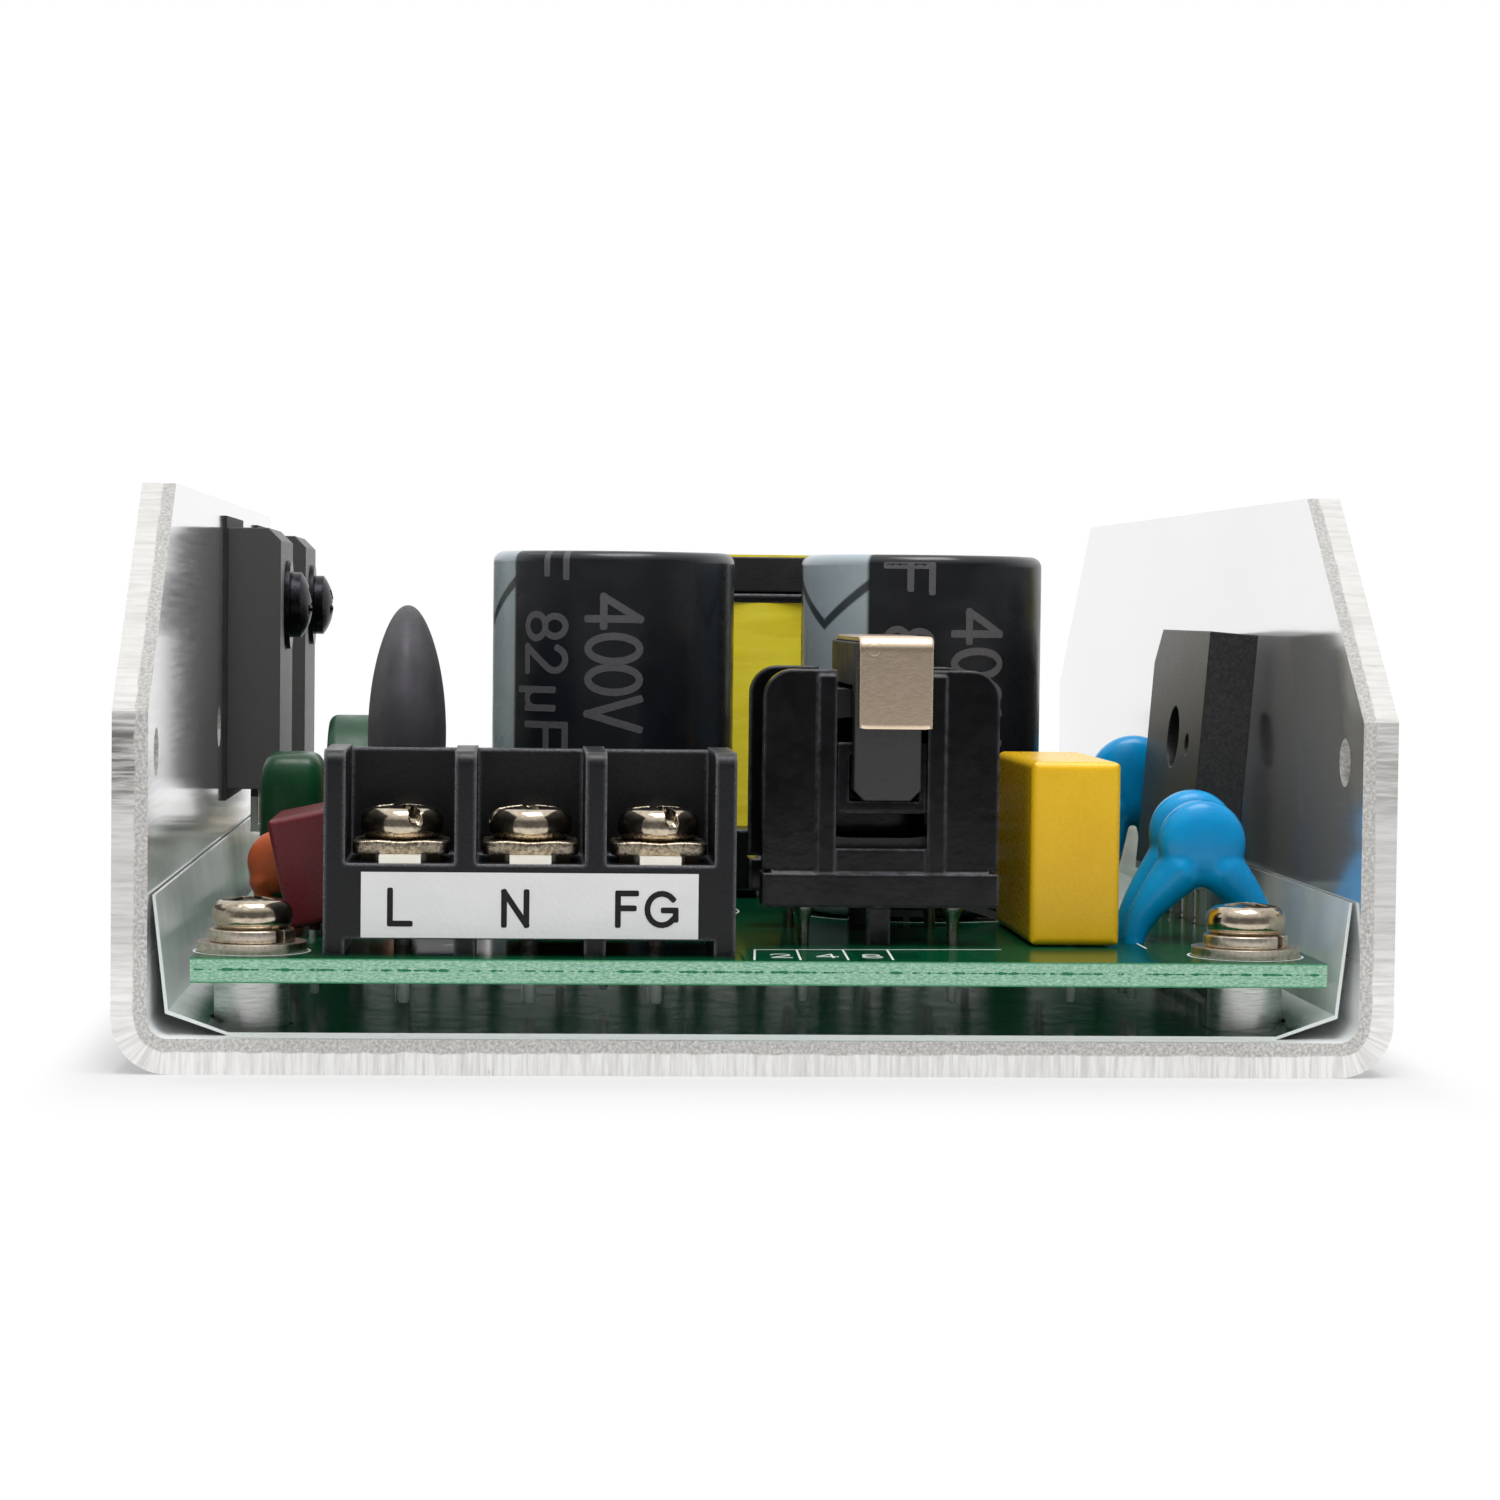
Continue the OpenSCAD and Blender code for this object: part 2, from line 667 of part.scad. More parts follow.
switch_pins = line_y(device_spot, switch_y, 3, device_pitch, flat_lead_r);
rect_pins = line_y(device_spot, rect_y, 3, device_pitch, flat_lead_r);
rail_y = (xfmr_l - rail_d) / 2;
xfmr_pins = concat(line_x(xfmr_x, xfmr_y - rail_y, 5, xfmr_pitch, wire_r),
    line_x(xfmr_x, xfmr_y + rail_y, 5, xfmr_pitch, wire_r));
function out_cap_x(i) = xfmr_x + (i - 1) * out_cap_step;
out_cap_pins = [for (i = [0 : 2]) for (p = across(out_cap_x(i), out_cap_y, out_cap_pitch, wire_r)) p];
out_choke_pins = along(out_choke_x, out_choke_y, out_choke_d + out_choke_wire, wire_r);
chip_pins = concat(line_y(chip_x - chip_row / 2, chip_y, 4, chip_pitch, chip_lead_r),
    line_y(chip_x + chip_row / 2, chip_y, 4, chip_pitch, chip_lead_r));
opto_pins = concat(line_y(opto_x - chip_row / 2, opto_y, 2, chip_pitch, chip_lead_r),
    line_y(opto_x + chip_row / 2, opto_y, 2, chip_pitch, chip_lead_r));
aux_pins = across(aux_x, aux_y, aux_pitch, wire_r);
resistor_step = resistor_d + resistor_space;
res_pins = concat(across(resistor_x, resistor_y, resistor_pitch, wire_r),
    across(resistor_x, resistor_y + resistor_step, resistor_pitch, wire_r));
all_pins = concat(in_pins, out_pins, choke_spots, x_cap_pins, y_front_pins, y_rear_pins, far_pins,
    bulk_l_pins, bulk_r_pins, ntc_pins, fuse_pins, red_pins, orange_pins, green_pins, ring_pins,
    bridge_pins, switch_pins, rect_pins, xfmr_pins, out_cap_pins, out_choke_pins, chip_pins, opto_pins,
    aux_pins, res_pins);

// which node to build

// Shared shapes

// Upright rectangle with rounded corners, centred.
module round_rect(w, h, r) {
    square([w - 2 * r, h], center = true);
    square([w, h - 2 * r], center = true);
    for (x = [-1, 1]) for (y = [-1, 1]) translate([x * (w / 2 - r), y * (h / 2 - r)]) circle(r = r);
}

// Box with rounded edges, centred in x and y, standing on z = 0.
module soft_box(w, l, h, r) {
    intersection() {
        linear_extrude(height = h) round_rect(w, l, r);
        translate([0, 0, h / 2]) rotate([90, 0, 0])
            linear_extrude(height = l, center = true) round_rect(w, h, r);
        translate([0, 0, h / 2]) rotate([90, 0, 90])
            linear_extrude(height = w, center = true) round_rect(l, h, r);
    }
}

// Round leads from the underside of the board up to height z.
module leads(spots, z) {
    for (p = spots) translate([p[0], p[1], under_z]) cylinder(r = p[2], h = z - under_z, $fn = small_fn);
}

// Straight round wire between two points.
module wire(a, b, r) {
    d = b - a;
    len = norm(d);
    translate(a) rotate([0, acos(d[2] / len), atan2(d[1], d[0])]) cylinder(r = r, h = len, $fn = small_fn);
}

// Pan head on z = 0 with a cross recess, shank below.
module pan_screw(d_head, h_head, dome, shank_r, shank_l, slot) {
    dome_r = (d_head * d_head / 4 + dome * dome) / (2 * dome);
    difference() {
        intersection() {
            cylinder(d = d_head, h = h_head);
            translate([0, 0, h_head - dome_r]) sphere(r = dome_r, $fn = 96);
        }
        for (a = [0, 90]) rotate([0, 0, a + recess_turn])
            translate([-d_head * recess_share / 2, -recess_w / 2, h_head - recess_h])
                cube([d_head * recess_share, recess_w, recess_h + past]);
        if (slot) rotate([0, 0, recess_turn]) translate([-d_head, -drive_slot_w / 2, h_head - drive_slot_h])
            cube([2 * d_head, drive_slot_w, drive_slot_h + past]);
    }
    translate([0, 0, -shank_l]) cylinder(r = shank_r, h = shank_l + lap, $fn = small_fn);
}

// Disc with a fully rounded rim, axis along y.
module coated_disc(d, t) {
    rotate([90, 0, 0]) rotate_extrude() {
        translate([0, -t / 2]) square([d / 2 - t / 2, t]);
        intersection() {
            translate([d / 2 - t / 2, 0]) circle(d = t);
            translate([0, -t]) square([d, 2 * t]);
        }
    }
}

// Can with rounded rims and a shallow recess in its top, standing on z = 0.
module can(d, h, rim) {
    difference() {
        rotate_extrude() {
            square([d / 2 - rim, h]);
            translate([0, rim]) square([d / 2, h - 2 * rim]);
            for (z = [rim, h - rim]) translate([d / 2 - rim, z]) circle(r = rim);
        }
        translate([0, 0, h - can_recess]) cylinder(d = d - can_rim_share * rim, h = past);
    }
}

// Chassis and board

module channel_profile(w, r, z0, z1) {
    translate([-w / 2, z0 + r]) square([w, z1 - z0 - r]);
    translate([r - w / 2, z0]) square([w - 2 * r, r + lap]);
    for (s = [-1, 1]) translate([s * (w / 2 - r), z0 + r]) circle(r = r);
}

module corner_cut() {
    rotate([90, 0, 90]) linear_extrude(height = channel_w + 2 * past, center = true)
        polygon([[front - past, corner_h], [front, corner_h], [front + corner_run, wall_h],
            [front + corner_run, wall_h + past], [front - past, wall_h + past]]);
}

module side_holes() {
    for (i = [0, 1]) translate([0, front + side_hole_inset + i * side_hole_pitch, side_hole_z])
        rotate([0, 90, 0]) cylinder(d = side_hole_d, h = channel_w + 2 * past, center = true);
}

device_z = top_z + device_lift;
device_face = pad_t + device_t;
module device_holes(r) {
    for (y = [switch_y, rect_y]) translate([-wall_in - sheet_t - past, y, device_z + device_hole_h])
        rotate([0, 90, 0]) cylinder(r = r, h = sheet_t + 2 * past, $fn = small_fn);
}

module chassis() {
    color("silver") difference() {
        rotate([90, 0, 0]) linear_extrude(height = channel_l, center = true) difference() {
            channel_profile(channel_w, bend_out, 0, wall_h);
            channel_profile(inner_w, bend_r, sheet_t, wall_h + past);
        }
        corner_cut();
        mirror([0, 1, 0]) corner_cut();
        side_holes();
        device_holes(bore_r);
        for (p = hole_spots) translate([p[0], p[1], -past])
            cylinder(d = standoff_press_d, h = sheet_t + 2 * past);
        for (x = [-1, 1]) for (y = [-1, 1]) translate([x * base_pitch_x / 2, y * base_pitch_y / 2, -past])
            cylinder(d = base_hole_d, h = sheet_t + 2 * past);
    }
}

module film_section() {
    flap_x = wall_in - film_gap;
    bend_x = flap_x - film_lean;
    foot_x = bend_x - film_slant;
    z0 = sheet_t;
    t = film_t;
    polygon([[-foot_x, z0], [foot_x, z0], [bend_x, z0 + film_rise], [flap_x, z0 + film_flap_h],
        [flap_x - t, z0 + film_flap_h], [bend_x - t, z0 + film_rise + t], [foot_x - t / 4, z0 + t],
        [t / 4 - foot_x, z0 + t], [t - bend_x, z0 + film_rise + t], [t - flap_x, z0 + film_flap_h],
        [-flap_x, z0 + film_flap_h], [-bend_x, z0 + film_rise]]);
}

module insulation_sheet() {
    color("whitesmoke") difference() {
        rotate([90, 0, 0]) linear_extrude(height = board_l - 2 * film_end, center = true) film_section();
        for (p = hole_spots) translate([p[0], p[1], 0])
            cylinder(d = standoff_d + 2 * film_hole_gap, h = under_z);
    }
}

module standoffs() {
    color("lightgray") for (p = hole_spots) translate([p[0], p[1], 0]) difference() {
        union() {
            cylinder(d = standoff_press_d - 2 * screw_gap, h = sheet_t + lap);
            translate([0, 0, sheet_t]) cylinder(d = standoff_d, h = standoff_h);
        }
        translate([0, 0, -past]) cylinder(r = bore_r, h = under_z + 2 * past, $fn = small_fn);
    }
}

module circuit_board() {
    color("green") difference() {
        translate([board_x0, board_y0, under_z]) cube([board_w, board_l, board_t]);
        for (p = hole_spots) translate([p[0], p[1], under_z - past])
            cylinder(d = board_hole_d, h = board_t + 2 * past);
        for (p = all_pins) translate([p[0], p[1], under_z - past])
            cylinder(r = p[2] + lead_gap, h = board_t + 2 * past, $fn = small_fn);
    }
}

module solder_joints() {
    color("silver") for (p = all_pins) translate([p[0], p[1], under_z]) mirror([0, 0, 1]) {
        cylinder(r1 = p[2] + fillet_r, r2 = p[2] * tip_share + tip_ring, h = joint_h, $fn = small_fn);
        cylinder(r = p[2] * tip_share, h = tip_h, $fn = small_fn);
    }
}

module board_screws() {
    color("silver") for (p = hole_spots) translate([p[0], p[1], head_z])
        pan_screw(head_d, head_h, dome_h, thread_r, head_z - screw_tip, false);
}

module spring_washers() {
    split_turn = 215;
    split_lean = 35;
    color("silver") for (p = hole_spots) translate([p[0], p[1], spring_z]) difference() {
        cylinder(d = spring_d, h = spring_t);
        translate([0, 0, -past]) cylinder(r = bore_r, h = spring_t + 2 * past, $fn = small_fn);
        rotate([0, 0, split_turn]) translate([0, 0, spring_t / 2]) rotate([split_lean, 0, 0])
            translate([0, -spring_split / 2, -spring_t * 2]) cube([spring_d, spring_split, spring_t * 4]);
    }
}

module ring_washer(d, t) {
    difference() {
        cylinder(d = d, h = t);
        translate([0, 0, -past]) cylinder(r = bore_r, h = t + 2 * past, $fn = small_fn);
    }
}

module flat_washers() {
    color("silver") for (p = hole_spots) translate([p[0], p[1], top_z]) ring_washer(washer_d, washer_t);
}

// Terminal blocks, drawn with the front at y = 0 and the left end at x = 0

wire_head_z = floor_h + contact_t + clamp_t;
function cell_x(i) = rib_t / 2 + (i + 0.5) * cell_pitch;

module rib_profile() {
    square([block_d, block_h - rib_r]);
    translate([rib_r, 0]) square([block_d - rib_r, block_h]);
    translate([rib_r, block_h - rib_r]) circle(r = rib_r);
}

module block(cells) {
    w = cells * cell_pitch + rib_t;
    back_drop = 0.15;
    bore_floor = 0.6;
    difference() {
        union() {
            for (i = [0 : cells]) translate([i * cell_pitch, 0, 0]) rotate([90, 0, 90])
                linear_extrude(height = rib_t) rib_profile();
            translate([0, 0, foot_h]) cube([w, block_d, floor_h - foot_h]);
            translate([0, block_d - back_t, foot_h]) cube([w, back_t, block_h - back_drop - foot_h]);
        }
        for (i = [0 : cells - 1]) translate([cell_x(i), 0, 0]) {
            translate([0, wire_screw_y, foot_h + bore_floor])
                cylinder(r = bore_r, h = floor_h, $fn = small_fn);
            translate([0, pin_y, 0])
                cylinder(r = contact_pin_r + lead_gap, h = floor_h + past, $fn = small_fn);
        }
    }
}

module block_screws(cells) {
    tip_space = 1;
    shank = wire_head_z - foot_h - tip_space;
    for (i = [0 : cells - 1]) translate([cell_x(i), wire_screw_y, wire_head_z])
        rotate([0, 0, wire_turn + wire_turn_step * i])
            pan_screw(wire_head_d, wire_head_h, wire_dome_h, thread_r, shank, true);
}

module block_clamps(cells) {
    for (i = [0 : cells - 1]) translate([cell_x(i), wire_screw_y, floor_h + contact_t]) difference() {
        soft_box(clamp_w, clamp_w, clamp_t, clamp_r);
        translate([0, 0, -past]) cylinder(r = bore_r, h = clamp_t + 2 * past, $fn = small_fn);
    }
}

module block_contacts(cells) {
    plate_y0 = 2.6;
    plate_l = block_d - back_t - plate_y0 - seat_gap;
    tongue_y0 = 0.05;
    for (i = [0 : cells - 1]) translate([cell_x(i), 0, 0]) {
        difference() {
            union() {
                translate([-contact_w / 2, plate_y0, floor_h]) cube([contact_w, plate_l, contact_t]);
                translate([-tongue_w / 2, tongue_y0, floor_h]) cube([tongue_w, plate_y0 + lap, contact_t]);
            }
            translate([0, wire_screw_y, floor_h - past])
                cylinder(r = bore_r, h = contact_t + 2 * past, $fn = small_fn);
        }
        translate([0, pin_y, under_z - top_z])
            cylinder(r = contact_pin_r, h = floor_h + top_z - under_z + contact_t / 2, $fn = small_fn);
    }
}

module at_input() {
    translate([in_x0, in_y0, top_z]) children();
}

module at_output() {
    translate([out_x0 + output_w, out_front, top_z]) rotate([0, 0, 180]) children();
}

module input_block() { color("dimgray") at_input() block(input_cells); }
module input_screws() { color("silver") at_input() block_screws(input_cells); }
module input_clamps() { color("silver") at_input() block_clamps(input_cells); }
module input_contacts() { color("silver") at_input() block_contacts(input_cells); }
module output_block() { color("dimgray") at_output() block(output_cells); }
module output_screws() { color("silver") at_output() block_screws(output_cells); }
module output_clamps() { color("silver") at_output() block_clamps(output_cells); }
module output_contacts() { color("silver") at_output() block_contacts(output_cells); }

module input_label() {
    color("white") at_input() translate([label_margin, -label_t, floor_h - label_drop - label_h])
        cube([input_w - 2 * label_margin, label_t, label_h]);
}

// Common-mode choke, drawn with the front flange at y = 0 and the board at z = 0

slot_w = core_w + slot_extra;
core_top = core_z + core_h;
leg_mid = core_z + core_leg / 2;
coil_r = core_h - core_leg * 1.5 - winding_gap;
core_front = -core_reach;
core_depth = choke_l / 2 - core_front;
mid_flange = 1;
pin_roof = 0.6;
pin_top = bobbin_foot + pin_bar_h - pin_roof;
bar_seam = 0.25;

module at_choke() {
    translate([choke_x, choke_y, top_z]) children();
}

module flange_plate() {
    slot_z = core_z - slot_drop;
    low = bobbin_foot + pin_bar_h + bar_seam;
    difference() {
        union() {
            translate([0, (choke_h + low) / 2]) round_rect(choke_w, choke_h - low, flange_r);
            translate([-choke_w / 2, low]) square([choke_w, flange_r + lap]);
        }
        translate([-slot_w / 2, slot_z]) square([slot_w, choke_h]);
    }
}

// Raised edges beside the slot of a flange.
module flange_ribs() {
    rib_drop = 0.35;
    low = bobbin_foot + pin_bar_h;
    for (s = [-1, 1]) translate([(s * (slot_w + slot_rib_w) - slot_rib_w) / 2, low])
        square([slot_rib_w, choke_h - low - rib_drop]);
}

module tube_section(extra) {
    grow = 2 * core_gap + 2 * extra;
    translate([core_shift, leg_mid]) square([core_w + grow, core_leg + grow], center = true);
}

module upright(y0, t) {
    translate([0, y0 + t, 0]) rotate([90, 0, 0]) linear_extrude(height = t) children();
}

module choke_bobbin() {
    peg = 1.5;
    peg_inset = 0.4;
    web_inset = 0.6;
    web_h = 1.4;
    color("black") at_choke() difference() {
        union() {
            upright(0, flange_t) flange_plate();
            upright(choke_l - flange_t, flange_t) flange_plate();
            upright(-slot_rib, slot_rib + lap) flange_ribs();
            upright(choke_l - lap, slot_rib + lap) flange_ribs();
            upright((choke_l - mid_flange) / 2, mid_flange) translate([0, leg_mid]) circle(r = coil_r);
            upright(flange_t - lap, choke_l - 2 * flange_t + 2 * lap) tube_section(tube_t);
            for (y = [-bar_reach, choke_l + bar_reach - pin_bar_d]) translate([-choke_w / 2, y, bobbin_foot])
                cube([choke_w, pin_bar_d, pin_bar_h]);
            for (y = [0, choke_l - flange_t]) translate([web_inset - choke_w / 2, y, bobbin_foot])
                cube([choke_w - 2 * web_inset, flange_t, pin_bar_h + web_h]);
            for (y = [peg_inset, choke_l - peg_inset - peg]) translate([-peg / 2, y, 0])
                cube([peg, peg, bobbin_foot + lap]);
        }
        upright(-past, choke_l + 2 * past) tube_section(0);
        leads_holes = concat(across(0, choke_pin_y0 - choke_y, choke_pin_x, choke_pin_r),
            across(0, choke_pin_y1 - choke_y, choke_pin_x, choke_pin_r));
        for (p = leads_holes) translate([p[0], p[1], 0])
            cylinder(r = choke_pin_r + lead_gap, h = pin_top, $fn = small_fn);
    }
}

// One U-shaped core half, legs pointing to +y.
module core_half() {
    chamfer = 0.7;
    intersection() {
        union() {
            upright(0, yoke_t) translate([-core_w / 2, core_z]) square([core_w, core_h]);
            for (z = [core_z, core_top - core_leg]) translate([-core_w / 2, 0, z])
                cube([core_w, core_depth, core_leg]);
        }
        upright(-past, core_depth + 2 * past) polygon([[-core_w / 2, core_z + chamfer],
            [chamfer - core_w / 2, core_z], [core_w / 2 - chamfer, core_z], [core_w / 2, core_z + chamfer],
            [core_w / 2, core_top], [-core_w / 2, core_top]]);
    }
}

module choke_core_front() { color("dimgray") at_choke() translate([core_shift, core_front, 0]) core_half(); }
module choke_core_rear() {
    color("dimgray") at_choke() translate([core_shift, choke_l - core_front, 0])
        mirror([0, 1, 0]) core_half();
}

module choke_clip() {
    y0 = core_front - clip_t;
    y1 = choke_l - core_front + clip_t;
    color("tan") at_choke() translate([core_shift + clip_shift, 0, 0]) {
        translate([-clip_w / 2, y0, core_top]) cube([clip_w, y1 - y0, clip_t]);
        for (y = [y0, y1 - clip_t]) translate([-clip_w / 2, y, core_top - clip_leg])
            cube([clip_w, clip_t, clip_leg + lap]);
    }
}

module coil(y0, y1) {
    at_choke() difference() {
        upright(y0, y1 - y0) translate([0, leg_mid]) circle(r = coil_r);
        upright(y0 - past, y1 - y0 + 2 * past) tube_section(tube_t);
    }
}

module choke_winding_front() { color("peru") coil(flange_t, (choke_l - mid_flange) / 2); }
module choke_winding_rear() { color("peru") coil((choke_l + mid_flange) / 2, choke_l - flange_t); }
module choke_pins() { color("silver") leads(choke_spots, top_z + pin_top); }

// Line capacitors

module x_capacitor() {
    color("gold") {
        translate([x_cap_x, x_cap_y, top_z + seat_gap / 2]) soft_box(x_cap_w, x_cap_l, x_cap_h, x_cap_r);
        leads(x_cap_pins, top_z + lead_reach);
    }
}

// Coated disc on two splayed legs, the coating running down each leg.
module disc_on_legs(x, y, d, t, z, spots, r) {
    run_h = 1.4;
    rim_in = 0.1;
    drop_share = 0.12;
    translate([x, y, top_z + z]) coated_disc(d, t);
    for (p = spots) {
        side = p[0] < x ? -1 : 1;
        knee = [p[0], p[1], top_z + run_h];
        wire(knee, [x + side * (d / 2 - r - rim_in), y, top_z + z - d * drop_share], r);
        translate(knee) sphere(r = r, $fn = small_fn);
    }
    leads(spots, top_z + run_h);
}

module y_capacitor_front() {
    color("deepskyblue") disc_on_legs(y_cap_x, y_cap_y, y_cap_d, y_cap_t, y_cap_z, y_front_pins, coat_r);
}

module y_capacitor_rear() {
    rear_rise = 0.5;
    color("deepskyblue") disc_on_legs(y_cap_x, y_cap_y + y_cap_step, y_cap_d, y_cap_t, y_cap_z + rear_rise,
        y_rear_pins, coat_r);
}

module y_capacitor_far() {
    z = far_disc_d / 2 + far_disc_lift;
    color("deepskyblue") disc_on_legs(far_x, far_y, far_disc_d, y_cap_t, z, far_pins, coat_r);
}

// Bulk capacitors

module bulk(x, spots) {
    translate([x, bulk_y, top_z + seat_gap]) can(bulk_d, bulk_h, bulk_rim);
    leads(spots, top_z + lead_reach);
}

module bulk_capacitor_left() { color("black") bulk(bulk_mid - bulk_step, bulk_l_pins); }
module bulk_capacitor_right() { color("black") bulk(bulk_mid + bulk_step, bulk_r_pins); }

// Other input parts

// Lens-shaped disc, axis along x.
module lens(d, t) {
    steps = 14;
    rotate([0, 90, 0]) rotate_extrude() polygon([for (i = [0 : steps]) let (a = 180 * i / steps - 90)
        [d / 2 * cos(a), t / 2 * sin(a)]]);
}

module thermistor() {
    lead_top = top_z + ntc_z - ntc_d / 5;
    color("dimgray") {
        translate([ntc_cx, ntc_cy, top_z + ntc_z]) lens(ntc_d, ntc_t);
        leads(ntc_pins, lead_top);
    }
}

module fuse() {
    color("saddlebrown") {
        translate([fuse_x, fuse_y, top_z + seat_gap]) cylinder(d = fuse_d, h = fuse_h);
        leads(fuse_pins, top_z + lead_reach);
    }
}

module red_capacitor() {
    foot = red_h * sin(red_lean) / 2;
    rise = dip_lift + red_w * sin(red_lean) / 2;
    color("firebrick") {
        translate([red_x + foot, red_y, top_z + rise]) rotate([0, -red_lean, 0])
            soft_box(red_w, red_l, red_h - dip_lift, red_r);
        leads(red_pins, top_z + dip_lead);
    }
}

module orange_capacitor() {
    lift = 1.9;
    leg_r = 0.5;
    color("chocolate") disc_on_legs(orange_x, orange_y, orange_d, orange_t, orange_d / 2 + lift, orange_pins,
        leg_r);
}

module green_capacitor() {
    color("darkgreen") {
        translate([green_x, green_y, top_z + dip_lift])
            soft_box(green_w, green_l, green_h - dip_lift, green_r);
        leads(green_pins, top_z + dip_lead);
    }
}

// heights of the two wound rings and the space under their wire
ring_lift = 0.9;
wire_space = 0.05;
ring_z = top_z + ring_d / 2 + ring_lift + ring_wire;

module ring_shape(d, hole, w) {
    rotate_extrude() translate([(d + hole) / 4, 0]) round_rect((d - hole) / 2, w, ring_r);
}

// Wire frames round a ring lying in the xy plane, evenly spaced over part of the circle.
module turns(n, span, d, hole, w, wire_d, gap) {
    a = (d - hole) / 2 + 2 * gap;
    mid = (d + hole) / 4;
    for (i = [0 : n - 1]) rotate([0, 0, (i - (n - 1) / 2) * span / (n - 1)]) translate([mid, 0, 0])
        rotate([90, 0, 0]) linear_extrude(height = wire_d, center = true) difference() {
            square([a + 2 * wire_d, w + 2 * gap + 2 * wire_d], center = true);
            square([a, w + 2 * gap], center = true);
        }
}

module at_ring() {
    translate([ring_x, ring_y, ring_z]) rotate([0, 90, 0]) children();
}

module ring_core() { color("darkgreen") at_ring() ring_shape(ring_d, ring_hole_d, ring_w); }

module ring_winding() {
    span = 200;
    color("peru") {
        at_ring() turns(ring_turns, span, ring_d, ring_hole_d, ring_w, ring_wire, wire_space);
        leads(ring_pins, ring_z - ring_d / 2 + lead_reach);
    }
}

// Bridge rectifier

module bridge_rectifier() {
    hole_share = 0.57;
    mark_y = 0.26;
    mark_z = 0.55;
    mark_r = 0.8;
    mark_h = 0.3;
    in_body = 0.6;
    color("dimgray") {
        translate([bridge_base_x, bridge_y, top_z + bridge_lift]) rotate([0, bridge_lean, 0]) difference() {
            rotate([90, 0, 90]) linear_extrude(height = bridge_t, center = true)
                polygon([[-bridge_l / 2, 0], [bridge_l / 2, 0], [bridge_l / 2, bridge_h - bridge_bevel],
                    [bridge_l / 2 - bridge_bevel, bridge_h], [-bridge_l / 2, bridge_h]]);
            translate([0, 0, bridge_h * hole_share]) rotate([0, 90, 0])
                cylinder(d = bridge_hole_d, h = bridge_t + 2 * past, center = true);
            translate([-bridge_t / 2 - past, -bridge_l * mark_y, bridge_h * mark_z]) rotate([0, 90, 0])
                cylinder(r = mark_r, h = past + mark_h);
        }
        for (p = bridge_pins) translate([p[0] - flat_lead[0] / 2, p[1] - flat_lead[1] / 2, under_z])
            cube([flat_lead[0], flat_lead[1], top_z - under_z + bridge_lift + in_body]);
    }
}

// Devices clamped to the left wall

device_body_x = pad_t - wall_in;
screw_z = device_z + device_hole_h;

// Flat lead that leaves the body, steps inward and goes through the board.
module stepped_lead(p) {
    t = flat_lead[0];
    w = flat_lead[1];
    from_x = device_body_x + device_t / 2;
    step_z = top_z + device_step_h;
    translate([from_x - t / 2, p[1] - w / 2, step_z]) cube([t, w, device_z - step_z + lap]);
    translate([from_x - t / 2, p[1] - w / 2, step_z]) cube([p[0] - from_x + t, w, t]);
    translate([p[0] - t / 2, p[1] - w / 2, under_z]) cube([t, w, step_z - under_z + t]);
}

module power_device(y, spots) {
    edge = 1;
    difference() {
        translate([device_body_x, y, device_z]) rotate([90, 0, 0])
            linear_extrude(height = device_w, center = true)
                polygon([[0, 0], [device_t - edge, 0], [device_t, edge], [device_t, device_h - edge],
                    [device_t - edge, device_h], [0, device_h]]);
        translate([device_body_x - past, y, screw_z]) rotate([0, 90, 0])
            cylinder(d = device_hole_d, h = device_t + 2 * past);
    }
    for (p = spots) stepped_lead(p);
}

module switch_transistor() { color("dimgray") power_device(switch_y, switch_pins); }
module output_rectifier() { color("dimgray") power_device(rect_y, rect_pins); }

module thermal_pad(y) {
    difference() {
        translate([-wall_in, y - device_w / 2 - pad_margin, device_z - pad_margin])
            cube([pad_t, device_w + 2 * pad_margin, device_h + 2 * pad_margin]);
        translate([-wall_in - past, y, screw_z]) rotate([0, 90, 0])
            cylinder(d = device_hole_d, h = pad_t + 2 * past);
    }
}

module switch_pad() { color("gray") thermal_pad(switch_y); }
module rectifier_pad() { color("gray") thermal_pad(rect_y); }

module device_screws() {
    shank = device_face + device_washer_t + sheet_t - seat_gap / 2;
    color("silver") for (y = [switch_y, rect_y])
        translate([device_face + device_washer_t - wall_in, y, screw_z]) rotate([0, 90, 0])
            pan_screw(head_d, device_head_h, dome_h, thread_r, shank, false);
}

module device_washers() {
    color("silver") for (y = [switch_y, rect_y]) translate([device_face - wall_in, y, screw_z])
        rotate([0, 90, 0]) ring_washer(washer_d, device_washer_t);
}

// Transformer, drawn on its own middle with the board at z = 0

core_bottom = xfmr_lift;
core_upper = xfmr_lift + xfmr_core_h;
core_mid = xfmr_lift + xfmr_core_h / 2;
window_0 = core_bottom + xfmr_yoke;
window_1 = core_upper - xfmr_yoke;
bobbin_r = xfmr_post_d / 2 + post_gap;
rail_top = 1;

module at_transformer() {
    translate([xfmr_x, xfmr_y, top_z]) children();
}

// Lower E-shaped half with a round middle leg.
module e_half() {
    translate([-xfmr_w / 2, -xfmr_core_d / 2, core_bottom]) cube([xfmr_w, xfmr_core_d, xfmr_yoke]);
    for (x = [-xfmr_w / 2, xfmr_w / 2 - xfmr_yoke]) translate([x, -xfmr_core_d / 2, core_bottom])
        cube([xfmr_yoke, xfmr_core_d, xfmr_core_h / 2]);
    translate([0, 0, core_bottom + lap]) cylinder(d = xfmr_post_d, h = xfmr_core_h / 2 - lap);
}

module transformer_core_lower() { color("dimgray") at_transformer() e_half(); }
module transformer_core_upper() {
    color("dimgray") at_transformer() translate([0, 0, 2 * core_mid]) mirror([0, 0, 1]) e_half();
}

